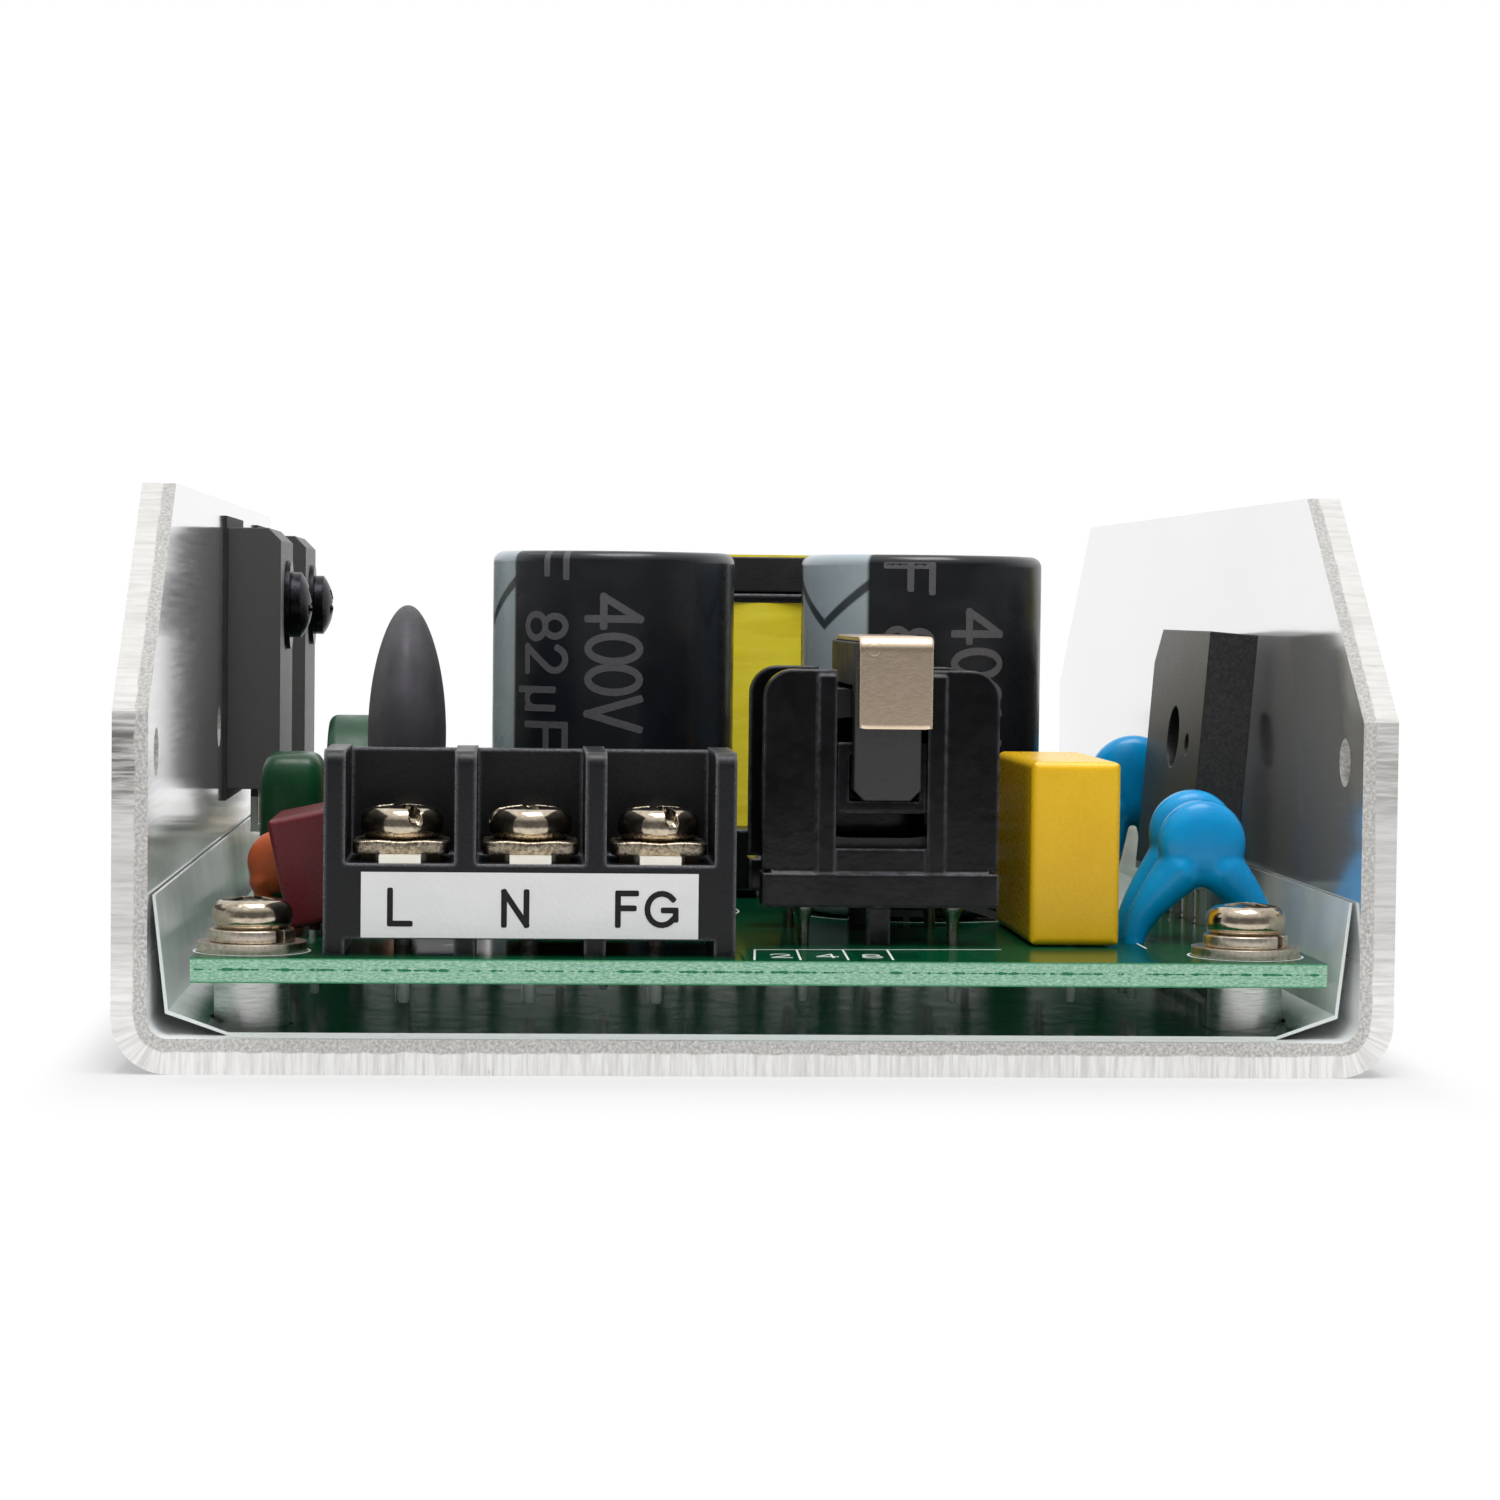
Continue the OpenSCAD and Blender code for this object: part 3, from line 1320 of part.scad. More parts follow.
module transformer_bobbin() {
    rail_inset = 0.6;
    rail_foot = 0.6;
    rail_h = window_0 + post_gap + xfmr_flange_t;
    flange_w = xfmr_w - 2 * xfmr_yoke - 2 * post_gap;
    flange_l = xfmr_l - rail_d;
    upper_l = xfmr_wind_d + 2 * xfmr_lip;
    color("black") at_transformer() difference() {
        union() {
            translate([-flange_w / 2, -flange_l / 2, window_0 + post_gap])
                cube([flange_w, flange_l, xfmr_flange_t]);
            translate([-flange_w / 2, -upper_l / 2, window_1 - post_gap - xfmr_flange_t])
                cube([flange_w, upper_l, xfmr_flange_t]);
            translate([0, 0, window_0 + post_gap])
                cylinder(r = bobbin_r + post_wall, h = window_1 - window_0 - 2 * post_gap);
            for (s = [-1, 1]) translate([rail_inset - xfmr_w / 2, s * rail_y - rail_d / 2, rail_foot])
                cube([xfmr_w - 2 * rail_inset, rail_d, rail_h - rail_foot]);
        }
        translate([0, 0, -past]) cylinder(r = bobbin_r, h = core_upper + 2 * past);
        for (p = xfmr_pins) translate([p[0] - xfmr_x, p[1] - xfmr_y, 0])
            cylinder(r = wire_r + lead_gap, h = rail_h - rail_top, $fn = small_fn);
    }
}

module transformer_winding() {
    color("gold") at_transformer() difference() {
        translate([0, 0, window_0 + post_gap + xfmr_flange_t])
            cylinder(d = xfmr_wind_d, h = window_1 - window_0 - 2 * post_gap - 2 * xfmr_flange_t);
        cylinder(r = bobbin_r + post_wall, h = core_upper);
    }
}

module transformer_tape() {
    t = xfmr_tape_t;
    color("gold") at_transformer() {
        translate([-xfmr_w / 2 - t, -xfmr_tape_w / 2, core_upper]) cube([xfmr_w + 2 * t, xfmr_tape_w, t]);
        for (x = [-xfmr_w / 2 - t, xfmr_w / 2]) translate([x, -xfmr_tape_w / 2, core_bottom])
            cube([t, xfmr_tape_w, xfmr_core_h + t]);
    }
}

module transformer_pins() {
    color("silver") leads(xfmr_pins, top_z + window_0 + post_gap + xfmr_flange_t - rail_top);
}

// Output parts

module out_cap(i) {
    translate([out_cap_x(i), out_cap_y, top_z + seat_gap]) can(out_cap_d, out_cap_h, out_rim);
    leads([for (k = [0, 1]) out_cap_pins[2 * i + k]], top_z + lead_reach);
}

module output_capacitor_left() { color("navy") out_cap(0); }
module output_capacitor_middle() { color("navy") out_cap(1); }
module output_capacitor_right() { color("navy") out_cap(2); }

out_choke_lift = 0.4;
out_choke_z = top_z + out_choke_h / 2 + out_choke_wire + out_choke_lift;

module at_out_choke() {
    translate([out_choke_x, out_choke_y, out_choke_z]) children();
}

module output_choke_core() {
    color("goldenrod") at_out_choke() ring_shape(out_choke_d, out_choke_hole_d, out_choke_h);
}

module output_choke_winding() {
    span = 310;
    color("peru") {
        at_out_choke() rotate([0, 0, 90])
            turns(out_choke_turns, span, out_choke_d, out_choke_hole_d, out_choke_h, out_choke_wire,
                wire_space);
        leads(out_choke_pins, out_choke_z - out_choke_h / 2);
    }
}

// Moulded chip with legs at both sides.
module chip(x, y, l, spots) {
    lift = 0.8;
    leg_z = top_z + lift + chip_t / 2;
    t = chip_lead[0];
    w = chip_lead[1];
    shoulder = (chip_row - chip_w) / 2 + lap;
    translate([x - chip_w / 2, y - l / 2, top_z + lift]) cube([chip_w, l, chip_t]);
    for (p = spots) {
        out_x = p[0] < x ? p[0] - t / 2 : p[0] + t / 2 - shoulder;
        translate([p[0] - t / 2, p[1] - w / 2, under_z]) cube([t, w, leg_z - under_z]);
        translate([out_x, p[1] - w / 2, leg_z - t]) cube([shoulder, w, t]);
    }
}

module control_chip() { color("dimgray") chip(chip_x, chip_y, chip_l, chip_pins); }
module optocoupler() { color("dimgray") chip(opto_x, opto_y, opto_l, opto_pins); }

module supply_capacitor() {
    color("navy") {
        translate([aux_x, aux_y, top_z + seat_gap]) can(aux_cap_d, aux_cap_h, aux_rim);
        leads(aux_pins, top_z + lead_reach);
    }
}

module resistors() {
    z = top_z + resistor_d / 2 + seat_gap;
    color("lightblue") for (i = [0, 1]) {
        y = resistor_y + i * resistor_step;
        translate([resistor_x - resistor_l / 2, y, z]) rotate([0, 90, 0])
            cylinder(d = resistor_d, h = resistor_l);
        translate([resistor_x - resistor_pitch / 2, y, z]) rotate([0, 90, 0])
            cylinder(r = wire_r, h = resistor_pitch, $fn = small_fn);
        leads([res_pins[2 * i], res_pins[2 * i + 1]], z);
    }
}

chassis();
insulation_sheet();
standoffs();
circuit_board();
solder_joints();
board_screws();
spring_washers();
flat_washers();
input_block();
input_screws();
input_clamps();
input_contacts();
input_label();
output_block();
output_screws();
output_clamps();
output_contacts();
choke_bobbin();
choke_core_front();
choke_core_rear();
choke_clip();
choke_winding_front();
choke_winding_rear();
choke_pins();
x_capacitor();
y_capacitor_front();
y_capacitor_rear();
y_capacitor_far();
bulk_capacitor_left();
bulk_capacitor_right();
thermistor();
fuse();
red_capacitor();
orange_capacitor();
green_capacitor();
ring_core();
ring_winding();
bridge_rectifier();
switch_transistor();
output_rectifier();
switch_pad();
rectifier_pad();
device_screws();
device_washers();
transformer_core_upper();
transformer_core_lower();
transformer_bobbin();
transformer_winding();
transformer_tape();
transformer_pins();
output_capacitor_left();
output_capacitor_middle();
output_capacitor_right();
output_choke_core();
output_choke_winding();
control_chip();
optocoupler();
supply_capacitor();
resistors();
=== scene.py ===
# %% [markdown]
# # An open-frame switching power supply
# A bent aluminium channel carries a green board with screw terminals, chokes, capacitors and a
# transformer. The solids come from the part's own source and already have the right sizes and places.
# This lesson gives each solid its finish, and swaps the simple ones for rounder shapes worked out with
# numpy.

# %% Load the solids
import math
from functools import partial

import bmesh
import bpy
import numpy as np
from mathutils import Matrix, Vector


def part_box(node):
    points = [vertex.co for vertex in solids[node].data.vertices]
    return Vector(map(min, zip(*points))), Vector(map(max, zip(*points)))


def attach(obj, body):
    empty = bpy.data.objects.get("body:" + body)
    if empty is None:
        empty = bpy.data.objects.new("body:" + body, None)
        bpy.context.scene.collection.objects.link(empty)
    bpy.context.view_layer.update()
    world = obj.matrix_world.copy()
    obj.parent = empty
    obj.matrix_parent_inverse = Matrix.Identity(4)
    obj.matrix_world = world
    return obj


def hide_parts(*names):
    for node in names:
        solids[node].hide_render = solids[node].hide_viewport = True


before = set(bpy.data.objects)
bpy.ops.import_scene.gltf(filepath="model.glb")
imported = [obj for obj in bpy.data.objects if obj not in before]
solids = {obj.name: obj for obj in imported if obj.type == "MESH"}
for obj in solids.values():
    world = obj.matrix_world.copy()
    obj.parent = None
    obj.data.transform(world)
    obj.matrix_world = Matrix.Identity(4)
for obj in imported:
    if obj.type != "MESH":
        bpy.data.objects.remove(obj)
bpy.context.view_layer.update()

# %% [markdown]
# ## Camera
# The picture was taken from the input end with a long lens, a little left of the middle and nearly level.
# A camera can be placed by eye, but here its place and turn were fitted to corners of known size, so the
# numbers go straight into its matrix.

# %% Camera
yaw, pitch, roll = [math.radians(angle) for angle in (3.667, 2.214, -0.661)]
ahead = Vector((math.sin(yaw) * math.cos(pitch), math.cos(yaw) * math.cos(pitch), -math.sin(pitch)))
level = Vector((math.cos(yaw), -math.sin(yaw), 0.0))
down = ahead.cross(level)
right = level * math.cos(roll) + down * math.sin(roll)
up = level * math.sin(roll) - down * math.cos(roll)
lens = bpy.data.cameras.new("camera")
lens.sensor_width = 36.0
lens.lens = 88.454
lens.clip_start = 0.01
camera = bpy.data.objects.new("camera", lens)
turn = Matrix((right, up, -ahead)).transposed()
camera.matrix_world = Matrix.Translation((-0.01586, -0.301865, 0.0301)) @ turn.to_4x4()
bpy.context.collection.objects.link(camera)
bpy.context.scene.camera = camera
print("camera", [round(v, 4) for v in camera.matrix_world.translation])

# %% [markdown]
# ## Helpers for finishes
# A finish is a small graph of nodes. One function turns a colour written as on a paint chart into linear
# light, one adds a node of any kind, and one makes the material from a recipe, which is a function that
# adds nodes and gives back what the shader takes. The others make a pattern whose grain has a real size
# in millimetres, give the place on the object and the way a face looks, and raise relief over edges that
# seem rounded.


# %% Colours and nodes
def linear(chart):
    """Linear red, green, blue and alpha of an sRGB hex value."""
    share = np.array([int(chart[i:i + 2], 16) for i in (1, 3, 5)]) / 255
    light = np.where(share <= 0.04045, share / 12.92, ((share + 0.055) / 1.055) ** 2.4)
    return (*light.tolist(), 1.0)


def join(node, inputs):
    """Link or set sockets, in order from a list or by name from a dictionary; a hex value is a colour."""
    sockets = [socket for socket in node.inputs if socket.enabled]
    if isinstance(inputs, dict):
        sockets = [node.inputs[name] for name in inputs]
        inputs = inputs.values()
    for socket, value in zip(sockets, inputs):
        if isinstance(value, bpy.types.NodeSocket):
            node.id_data.links.new(value, socket)
        else:
            socket.default_value = linear(value) if isinstance(value, str) else value


def add_node(tree, kind, *inputs, out=None, **settings):
    """Add one node and give back its named output or the first in use; capitals name a Math operation."""
    if kind.isupper():
        settings["operation"] = kind
        kind = "Math"
    tinted = [isinstance(value, str) or getattr(value, "type", "") == "RGBA" for value in inputs]
    if kind == "Mix" and any(tinted):
        settings["data_type"] = "RGBA"
    node = tree.nodes.new("ShaderNode" + kind)
    for name, value in settings.items():
        setattr(node, name, value)
    join(node, inputs[0] if inputs and isinstance(inputs[0], dict) else inputs)
    outputs = [socket for socket in node.outputs if socket.enabled]
    return node.outputs[out] if out else (outputs or [None])[0]


def finish(name, recipe, *numbers, **more):
    """Make a material whose shader takes the colours, numbers and links that a recipe gives back."""
    made = bpy.data.materials.new(name)
    made.use_nodes = True
    shader = made.node_tree.nodes["Principled BSDF"]
    join(shader, recipe(partial(add_node, made.node_tree), *numbers, **more))
    return made


def empty_graph(owner):
    """Clear the nodes of a material or world, and give back a way to add new ones."""
    owner.use_nodes = True
    owner.node_tree.nodes.clear()
    return partial(add_node, owner.node_tree)


# %% Places, patterns and relief
def millimetres(add):
    """The place on the object in millimetres, as three numbers."""
    scaled = add("VectorMath", add("TexCoord", out="Object"), 1000.0, operation="SCALE")
    return add("SeparateXYZ", scaled).node.outputs


def face_way(add):
    """The direction that a face looks in, as three numbers."""
    return add("SeparateXYZ", add("NewGeometry", out="Normal")).node.outputs


def apart(add, one, two):
    """Distance between two numbers: the size of their difference."""
    return add("ABSOLUTE", add("SUBTRACT", one, two))


def pattern(add, size, stretch=(1, 1, 1), kind="Noise", **inputs):
    """A texture whose cells are `size` millimetres wide, drawn out by `stretch` along x, y and z."""
    cells = [1000.0 / (size * factor) for factor in stretch]
    place = add("VectorMath", add("TexCoord", out="Object"), cells, operation="MULTIPLY")
    return add("Tex" + kind, {"Vector": place, "Scale": 1.0, **inputs})


def bumps(add, height, strength, depth, edge=0.0):
    """Relief of a depth in millimetres, over edges that look rounded by a radius in millimetres."""
    inputs = {"Height": height, "Strength": strength, "Distance": depth / 1000}
    if edge:
        inputs["Normal"] = add("Bevel", {"Radius": edge / 1000}, samples=6)
    return add("Bump", inputs)


def dress(material, *names):
    """Give a finish to solids."""
    for name in names:
        solids[name].data.materials.clear()
        solids[name].data.materials.append(material)
    print(material.name, "on", ", ".join(names))


# %% [markdown]
# ## Helpers for shapes
# Every new piece is a grid of points: rows and columns of a formula, joined by four-cornered faces. A
# turned shape is a profile carried round an axis, and a wire is a circle carried along a path.


# %% Grids, turned shapes and wires
def grid(points, ring=True):
    """Faces between the rows and columns of points; ring joins the last column to the first."""
    rows, columns = points.shape[:2]
    number = np.arange(rows * columns).reshape(rows, columns)
    if ring:
        number = np.hstack([number, number[:, :1]])
    corners = [number[:-1, :-1], number[:-1, 1:], number[1:, 1:], number[1:, :-1]]
    return points.reshape(-1, 3), np.stack(corners, axis=-1).reshape(-1, 4)


def unit(vectors):
    """Each vector divided by its own length."""
    return vectors / np.linalg.norm(vectors, axis=-1, keepdims=True)


def soft(wave, power):
    """Power of a sine or cosine that keeps its sign, which squares off a circle."""
    return np.sign(wave) * np.abs(wave) ** power


def angles(first, last, count):
    """Evenly spread angles between two that are given in degrees."""
    return np.radians(np.linspace(first, last, count))


def all_round(count):
    """Evenly spread angles once round a circle."""
    return np.linspace(0, 2 * np.pi, count, endpoint=False)


def turned(profile, centre, axis=2, sides=48):
    """Rows of (radius, height) carried round an axis: radius times cosine and sine, height along it."""
    profile = np.asarray(profile, float)
    angle = all_round(sides)
    one = profile[:, :1] * np.cos(angle)
    two = profile[:, :1] * np.sin(angle)
    along = np.broadcast_to(profile[:, 1:], one.shape)
    points = np.stack(np.roll([one, two, along], axis + 1, axis=0), axis=-1)
    return grid(points + np.asarray(centre))


def wire(path, radius, sides=10, beside=(0.0, 0.0, 1.0)):
    """Circle of a radius carried along a path, ended by half balls; beside is never along the path."""
    path = np.asarray(path, float)
    radius = np.broadcast_to(np.asarray(radius, float), len(path))
    heading = unit(np.gradient(path, axis=0))
    bend = np.radians([90, 60, 30])
    start = path[0] - heading[0] * radius[0] * np.sin(bend)[:, None]
    stop = path[-1] + heading[-1] * radius[-1] * np.sin(bend[::-1])[:, None]
    heading = np.vstack([np.repeat(heading[:1], 3, 0), heading, np.repeat(heading[-1:], 3, 0)])
    radius = np.concatenate([radius[0] * np.cos(bend), radius, radius[-1] * np.cos(bend[::-1])])
    beside = np.asarray(beside, float)
    if beside.ndim == 2:
        beside = np.vstack([np.repeat(beside[:1], 3, 0), beside, np.repeat(beside[-1:], 3, 0)])
    across = unit(np.cross(heading, beside))
    over = np.cross(heading, across)
    angle = all_round(sides)[None, :, None]
    circle = np.cos(angle) * across[:, None] + np.sin(angle) * over[:, None]
    return grid(np.vstack([start, path, stop])[:, None] + radius[:, None, None] * circle)


def curve(*corners, steps=12):
    """Bezier curve: the weighted mean of its corners, with the weights of the binomial formula."""
    t = np.linspace(0, 1, steps)[:, None]
    n = len(corners) - 1
    terms = [math.comb(n, k) * t ** k * (1 - t) ** (n - k) * np.asarray(corner, float)
             for k, corner in enumerate(corners)]
    return sum(terms)


# %% Pieces that stand for solids
def make(name, parts, stands_for=(), crease=40):
    """Join parts, given per finish as grids in millimetres, into one piece that rides on the body."""
    points = []
    faces = []
    finishes = []
    start = 0
    for index, shapes in enumerate(parts.values()):
        for shape_points, shape_faces in shapes:
            points.append(shape_points)
            faces.append(shape_faces + start)
            finishes.append(np.full(len(shape_faces), index))
            start += len(shape_points)
    mesh = bpy.data.meshes.new(name)
    mesh.from_pydata((np.vstack(points) / 1000).tolist(), [], np.vstack(faces).tolist())
    mesh.polygons.foreach_set("material_index", np.concatenate(finishes))
    work = bmesh.new()
    work.from_mesh(mesh)
    bmesh.ops.remove_doubles(work, verts=work.verts, dist=1e-7)
    bmesh.ops.recalc_face_normals(work, faces=work.faces)
    work.to_mesh(mesh)
    work.free()
    for material in parts:
        mesh.materials.append(material)
    mesh.shade_smooth()
    mesh.set_sharp_from_angle(angle=math.radians(crease))
    piece = bpy.data.objects.new(name, mesh)
    bpy.context.collection.objects.link(piece)
    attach(piece, "root")
    if stands_for:
        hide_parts(*stands_for)
    print(name, len(mesh.polygons), "faces")
    return piece


# %% [markdown]
# ## The aluminium channel
# The channel is mill-finish sheet, sheared to length and bent twice. Rolling leaves fine lines along it,
# and shearing leaves two bands on each cut edge: a bright burnished one next to the outside, with marks
# across the sheet, and a grainy broken one next to the inside. Bending stretches the skin, which turns
# dull there. Paint layers could show that, but here the depth into the sheet is worked out from the place
# on the object, so the bands also follow the bends.


# %% Places on the bent sheet
# half width of the flat base and outer radius of the bends
FLAT_HALF = 37.685
BEND_OUT = 3.59


def on_sheet(add, x, side, z):
    """Depth below the outer face and signed length along the section, as if the sheet were unbent."""
    past = add("MAXIMUM", add("SUBTRACT", side, FLAT_HALF), 0.0)
    under = add("MAXIMUM", add("SUBTRACT", BEND_OUT, z), 0.0)
    reach = add("VectorMath", add("CombineXYZ", past, under), operation="LENGTH")
    depth = add("SUBTRACT", BEND_OUT, reach)
    bend = add("MULTIPLY", add("ARCTAN2", past, under), BEND_OUT)
    flat = add("MINIMUM", side, FLAT_HALF)
    rise = add("MAXIMUM", add("SUBTRACT", z, BEND_OUT), 0.0)
    run = add("ADD", add("ADD", flat, bend), rise)
    return depth, add("MULTIPLY", run, add("SIGN", x))


# %% Rolled aluminium sheet with sheared edges
def sheared_sheet(add):
    """Depth and length along the bent sheet pick burnish, fracture or rolled face."""
    x, y, z = millimetres(add)
    side = add("ABSOLUTE", x)
    depth, run = on_sheet(add, x, side, z)
    noises = []
    for along, inward, detail, rough in ((3.4, 0.22, 4.0, 0.65), (0.8, 0.1, 5.0, 0.8)):
        place = [add("MULTIPLY", run, along), add("MULTIPLY", depth, inward), y]
        noises.append(add("TexNoise", {"Vector": add("CombineXYZ", *place), "Scale": 1.0,
                                       "Detail": detail, "Roughness": rough}))
    strokes, scores = noises
    scores = add("MapRange", scores, 0.66, 0.71)
    grain = pattern(add, 0.22, Detail=3.0, Roughness=0.7)
    wander = pattern(add, 1.6)
    border = add("MULTIPLY_ADD", wander, 0.35, 1.2)
    broken = add("MULTIPLY", add("SUBTRACT", depth, border), 9.0, use_clamp=True)
    burnish = add("Mix", add("MapRange", strokes, 0.3, 0.6), "#d9d7d4", "#fbfaf8")
    burnish = add("Mix", add("MapRange", z, 5.0, 9.0, 0.0, 0.3), burnish, "#a8a5a2")
    burnish = add("Mix", scores, burnish, "#a5a29f")
    soil = apart(add, z, 20.0)
    soil = add("MapRange", soil, 1.5, 4.0, add("MapRange", x, -1.0, 1.0, 0.95, 0.4), 0.0)
    soil = add("MULTIPLY", soil, add("MapRange", strokes, 0.62, 0.42, 0.2, 1.0))
    burnish = add("Mix", soil, burnish, "#6d6a66")
    rough = add("MapRange", grain, 0.35, 0.68)
    fracture = add("Mix", rough, "#a9a7a4", "#e6e4e1")
    cut = add("Mix", broken, burnish, fracture)
    specks = add("MapRange", pattern(add, 0.55, Detail=6.0, Roughness=0.75), 0.7, 0.76)
    cut = add("Mix", specks, cut, "#4a4844")
    facing = face_way(add)
    slope = add("MapRange", facing[2], 0.3, 0.6, 0.0, 0.45)
    cut = add("Mix", slope, cut, "#83817e")
    end_face = add("GREATER_THAN", add("ABSOLUTE", facing[1]), 0.4)
    top_face = add("GREATER_THAN", facing[2], 0.3)
    high = add("GREATER_THAN", z, 4.0)
    edge = add("MAXIMUM", end_face, add("MULTIPLY", top_face, high))
    rolled = pattern(add, 0.3, (1, 45, 1), Detail=4.0, Roughness=0.7)
    cloud = pattern(add, 14.0, (1, 2, 1), Detail=3.0)
    skin = add("Mix", cloud, "#eeeff0", "#fbfbfb")
    colour = add("Mix", edge, skin, cut)
    bent = add("MULTIPLY", add("MapRange", side, 31.0, 36.5), add("MapRange", z, 9.0, 4.5))
    face_gloss = add("MapRange", rolled, 0.3, 0.7, 0.1, 0.14)
    face_gloss = add("Mix", bent, face_gloss, 0.6)
    cut_gloss = add("MapRange", broken, 0.0, 1.0, 0.42, 0.62)
    gloss = add("Mix", edge, face_gloss, cut_gloss)
    lines = add("Mix", edge, rolled, add("Mix", broken, strokes, grain))
    strength = add("MapRange", edge, 0.0, 1.0, 0.012, 0.25)
    relief = bumps(add, lines, strength, 0.06)
    metal = add("MapRange", edge, 0.0, 1.0, 0.8, 0.25)
    metal = add("MULTIPLY_ADD", bent, -0.5, metal, use_clamp=True)
    return {"Base Color": colour, "Roughness": gloss, "Normal": relief, "Metallic": metal}


dress(finish("rolled_aluminium_sheared", sheared_sheet), "chassis")

# %% [markdown]
# ## Insulation film
# A thin milky plastic sheet lies under the board and is folded up along both walls. It lets light
# through, and its cut edges and creases look white. Glass-like transmission would bend the light too much
# for a film, so it is a see-through surface whose alpha rises at the edges and creases. Where the sheet
# lies flat in the shade of the board, it is tinted dark green.


# %% Milky film
def milky_film(add):
    """Alpha is low on the faces and high on cut ends and along creases near the folds."""
    end = add("MapRange", add("ABSOLUTE", face_way(add)[1]), 0.5, 0.8)
    creases = pattern(add, 1.3, (1, 1.4, 3.0), Detail=2.0, Distortion=1.2)
    creases = apart(add, creases, 0.5)
    creases = add("MapRange", creases, 0.0, 0.03, 1.0, 0.0)
    z = millimetres(add)[2]
    low = add("MapRange", z, 3.4, 6.5, 1.0, 0.0)
    creases = add("MULTIPLY", creases, low)
    haze = add("MapRange", pattern(add, 5.0), 0.3, 0.7, 0.76, 0.92)
    shaded = add("MapRange", z, 2.9, 3.6, 1.0, 0.0)
    creases = add("SUBTRACT", creases, shaded, use_clamp=True)
    white = add("MAXIMUM", end, creases)
    alpha = add("Mix", white, haze, 0.9)
    colour = add("Mix", shaded, "#eaf0ee", "#061f16")
    colour = add("Mix", white, colour, "#eef4f1")
    relief = bumps(add, pattern(add, 2.2, (1, 2, 1)), 0.2, 0.2)
    return {"Base Color": colour, "Alpha": alpha, "Normal": relief, "Roughness": 0.14, "IOR": 1.49}


dress(finish("milky_polypropylene_film", milky_film), "insulation_sheet")

# %% [markdown]
# ## Turned and plated metal
# The standoffs are turned from bar, so fine rings run round them. Screws are nickel plated: bright, warm,
# with a faint orange-peel skin, and their washers are satin. Bar, screws, washers, wires and pins are one
# recipe: a metal with the colour of the plating, a streak pattern of real spacing and a little relief.
# The contacts are tin plate that is bright only where the wire goes.


# %% Plated metals
def plated(add, dark, light, gloss, size, stretch, depth, metal=1.0):
    """Metal whose tone, gloss and relief follow one streak pattern, over softly rounded edges."""
    streaks = pattern(add, size, stretch, Detail=4.0, Roughness=0.6)
    tone = add("MapRange", streaks, 0.3, 0.7)
    colour = add("Mix", tone, dark, light)
    shine = add("MapRange", streaks, 0.3, 0.7, *gloss)
    relief = bumps(add, streaks, 0.5, depth, 0.12)
    return {"Base Color": colour, "Roughness": shine, "Normal": relief, "Metallic": metal}


EVEN = (1, 1, 1)
turned_bar = finish("turned_aluminium", plated, "#c6c7c6", "#fafaf8", (0.3, 0.45), 0.14, (9, 9, 1), 0.04)
nickel = finish("bright_nickel_plate", plated, "#b5a792", "#dacdb9", (0.1, 0.2), 0.5, EVEN, 0.01)
nickel_clamp = finish("rough_nickel_plate", plated, "#6e6252", "#d3c5b0", (0.2, 0.36), 0.25, EVEN, 0.1)
satin_nickel = finish("satin_nickel_plate", plated, "#c4b8a9", "#eee3d3", (0.26, 0.38), 0.3, EVEN, 0.02)
black_oxide = finish("black_oxide_steel", plated, "#1b1b1d", "#34343a", (0.25, 0.4), 0.4, EVEN, 0.01)
tinned_wire = finish("tinned_copper_wire", plated, "#cfcecb", "#f2f1ee", (0.18, 0.3), 0.3, (1, 1, 3),
                     0.01)
dull_tin = finish("dull_tinned_pin", plated, "#77736c", "#b9b5ad", (0.25, 0.4), 0.3, (1, 1, 3), 0.01)
solder_tin = finish("wave_solder", plated, "#f2f2f0", "#ffffff", (0.08, 0.2), 0.4, EVEN, 0.02, 0.1)
dress(turned_bar, "standoffs")
dress(satin_nickel, "flat_washers")
dress(black_oxide, "device_screws", "device_washers")
dress(tinned_wire, "transformer_pins")


# %% Contacts with a bright tongue
# distance between terminal cells and radius of a terminal screw head
CELL_PITCH = 8.45
HEAD_R = 2.755


def contact_tin(add, first):
    """Tin plate that is bright on the tongue, near the middle of each cell, and dull brown elsewhere."""
    x = millimetres(add)[0]
    off = add("WRAP", add("SUBTRACT", x, first), -CELL_PITCH / 2, CELL_PITCH / 2)
    dull = add("MapRange", add("ABSOLUTE", off), 1.4, 1.7)
    cloud = pattern(add, 0.4, (3, 1, 1), Detail=4.0)
    bright = add("Mix", cloud, "#f3efe0", "#fffdf3")
    brown = add("Mix", cloud, "#2b2620", "#574d41")
    colour = add("Mix", dull, bright, brown)
    gloss = add("MapRange", cloud, 0.3, 0.7, 0.3, 0.5)
    metal = add("MapRange", dull, 0.0, 1.0, 0.25, 1.0)
    return {"Base Color": colour, "Roughness": gloss, "Metallic": metal}


for block in ("input", "output"):
    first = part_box(block + "_screws")[0][0] * 1000 + HEAD_R
    dress(finish("tin_plate_" + block, contact_tin, first), block + "_contacts")

# %% [markdown]
# ## Screws
# The screws have a barrel-shaped pan head with a cross recess. A plain cylinder looks too sharp, so the
# head is a polar grid: its rim is part of a superellipse, and the recess is a smooth dip in the shape of
# a cross.


# %% Screw heads
# top of the clamp plates under the terminal screws, and where each row of screws stands
CLAMP_TOP = 14.69
SCREW_ROWS = {"input": -58.275, "output": 58.275}


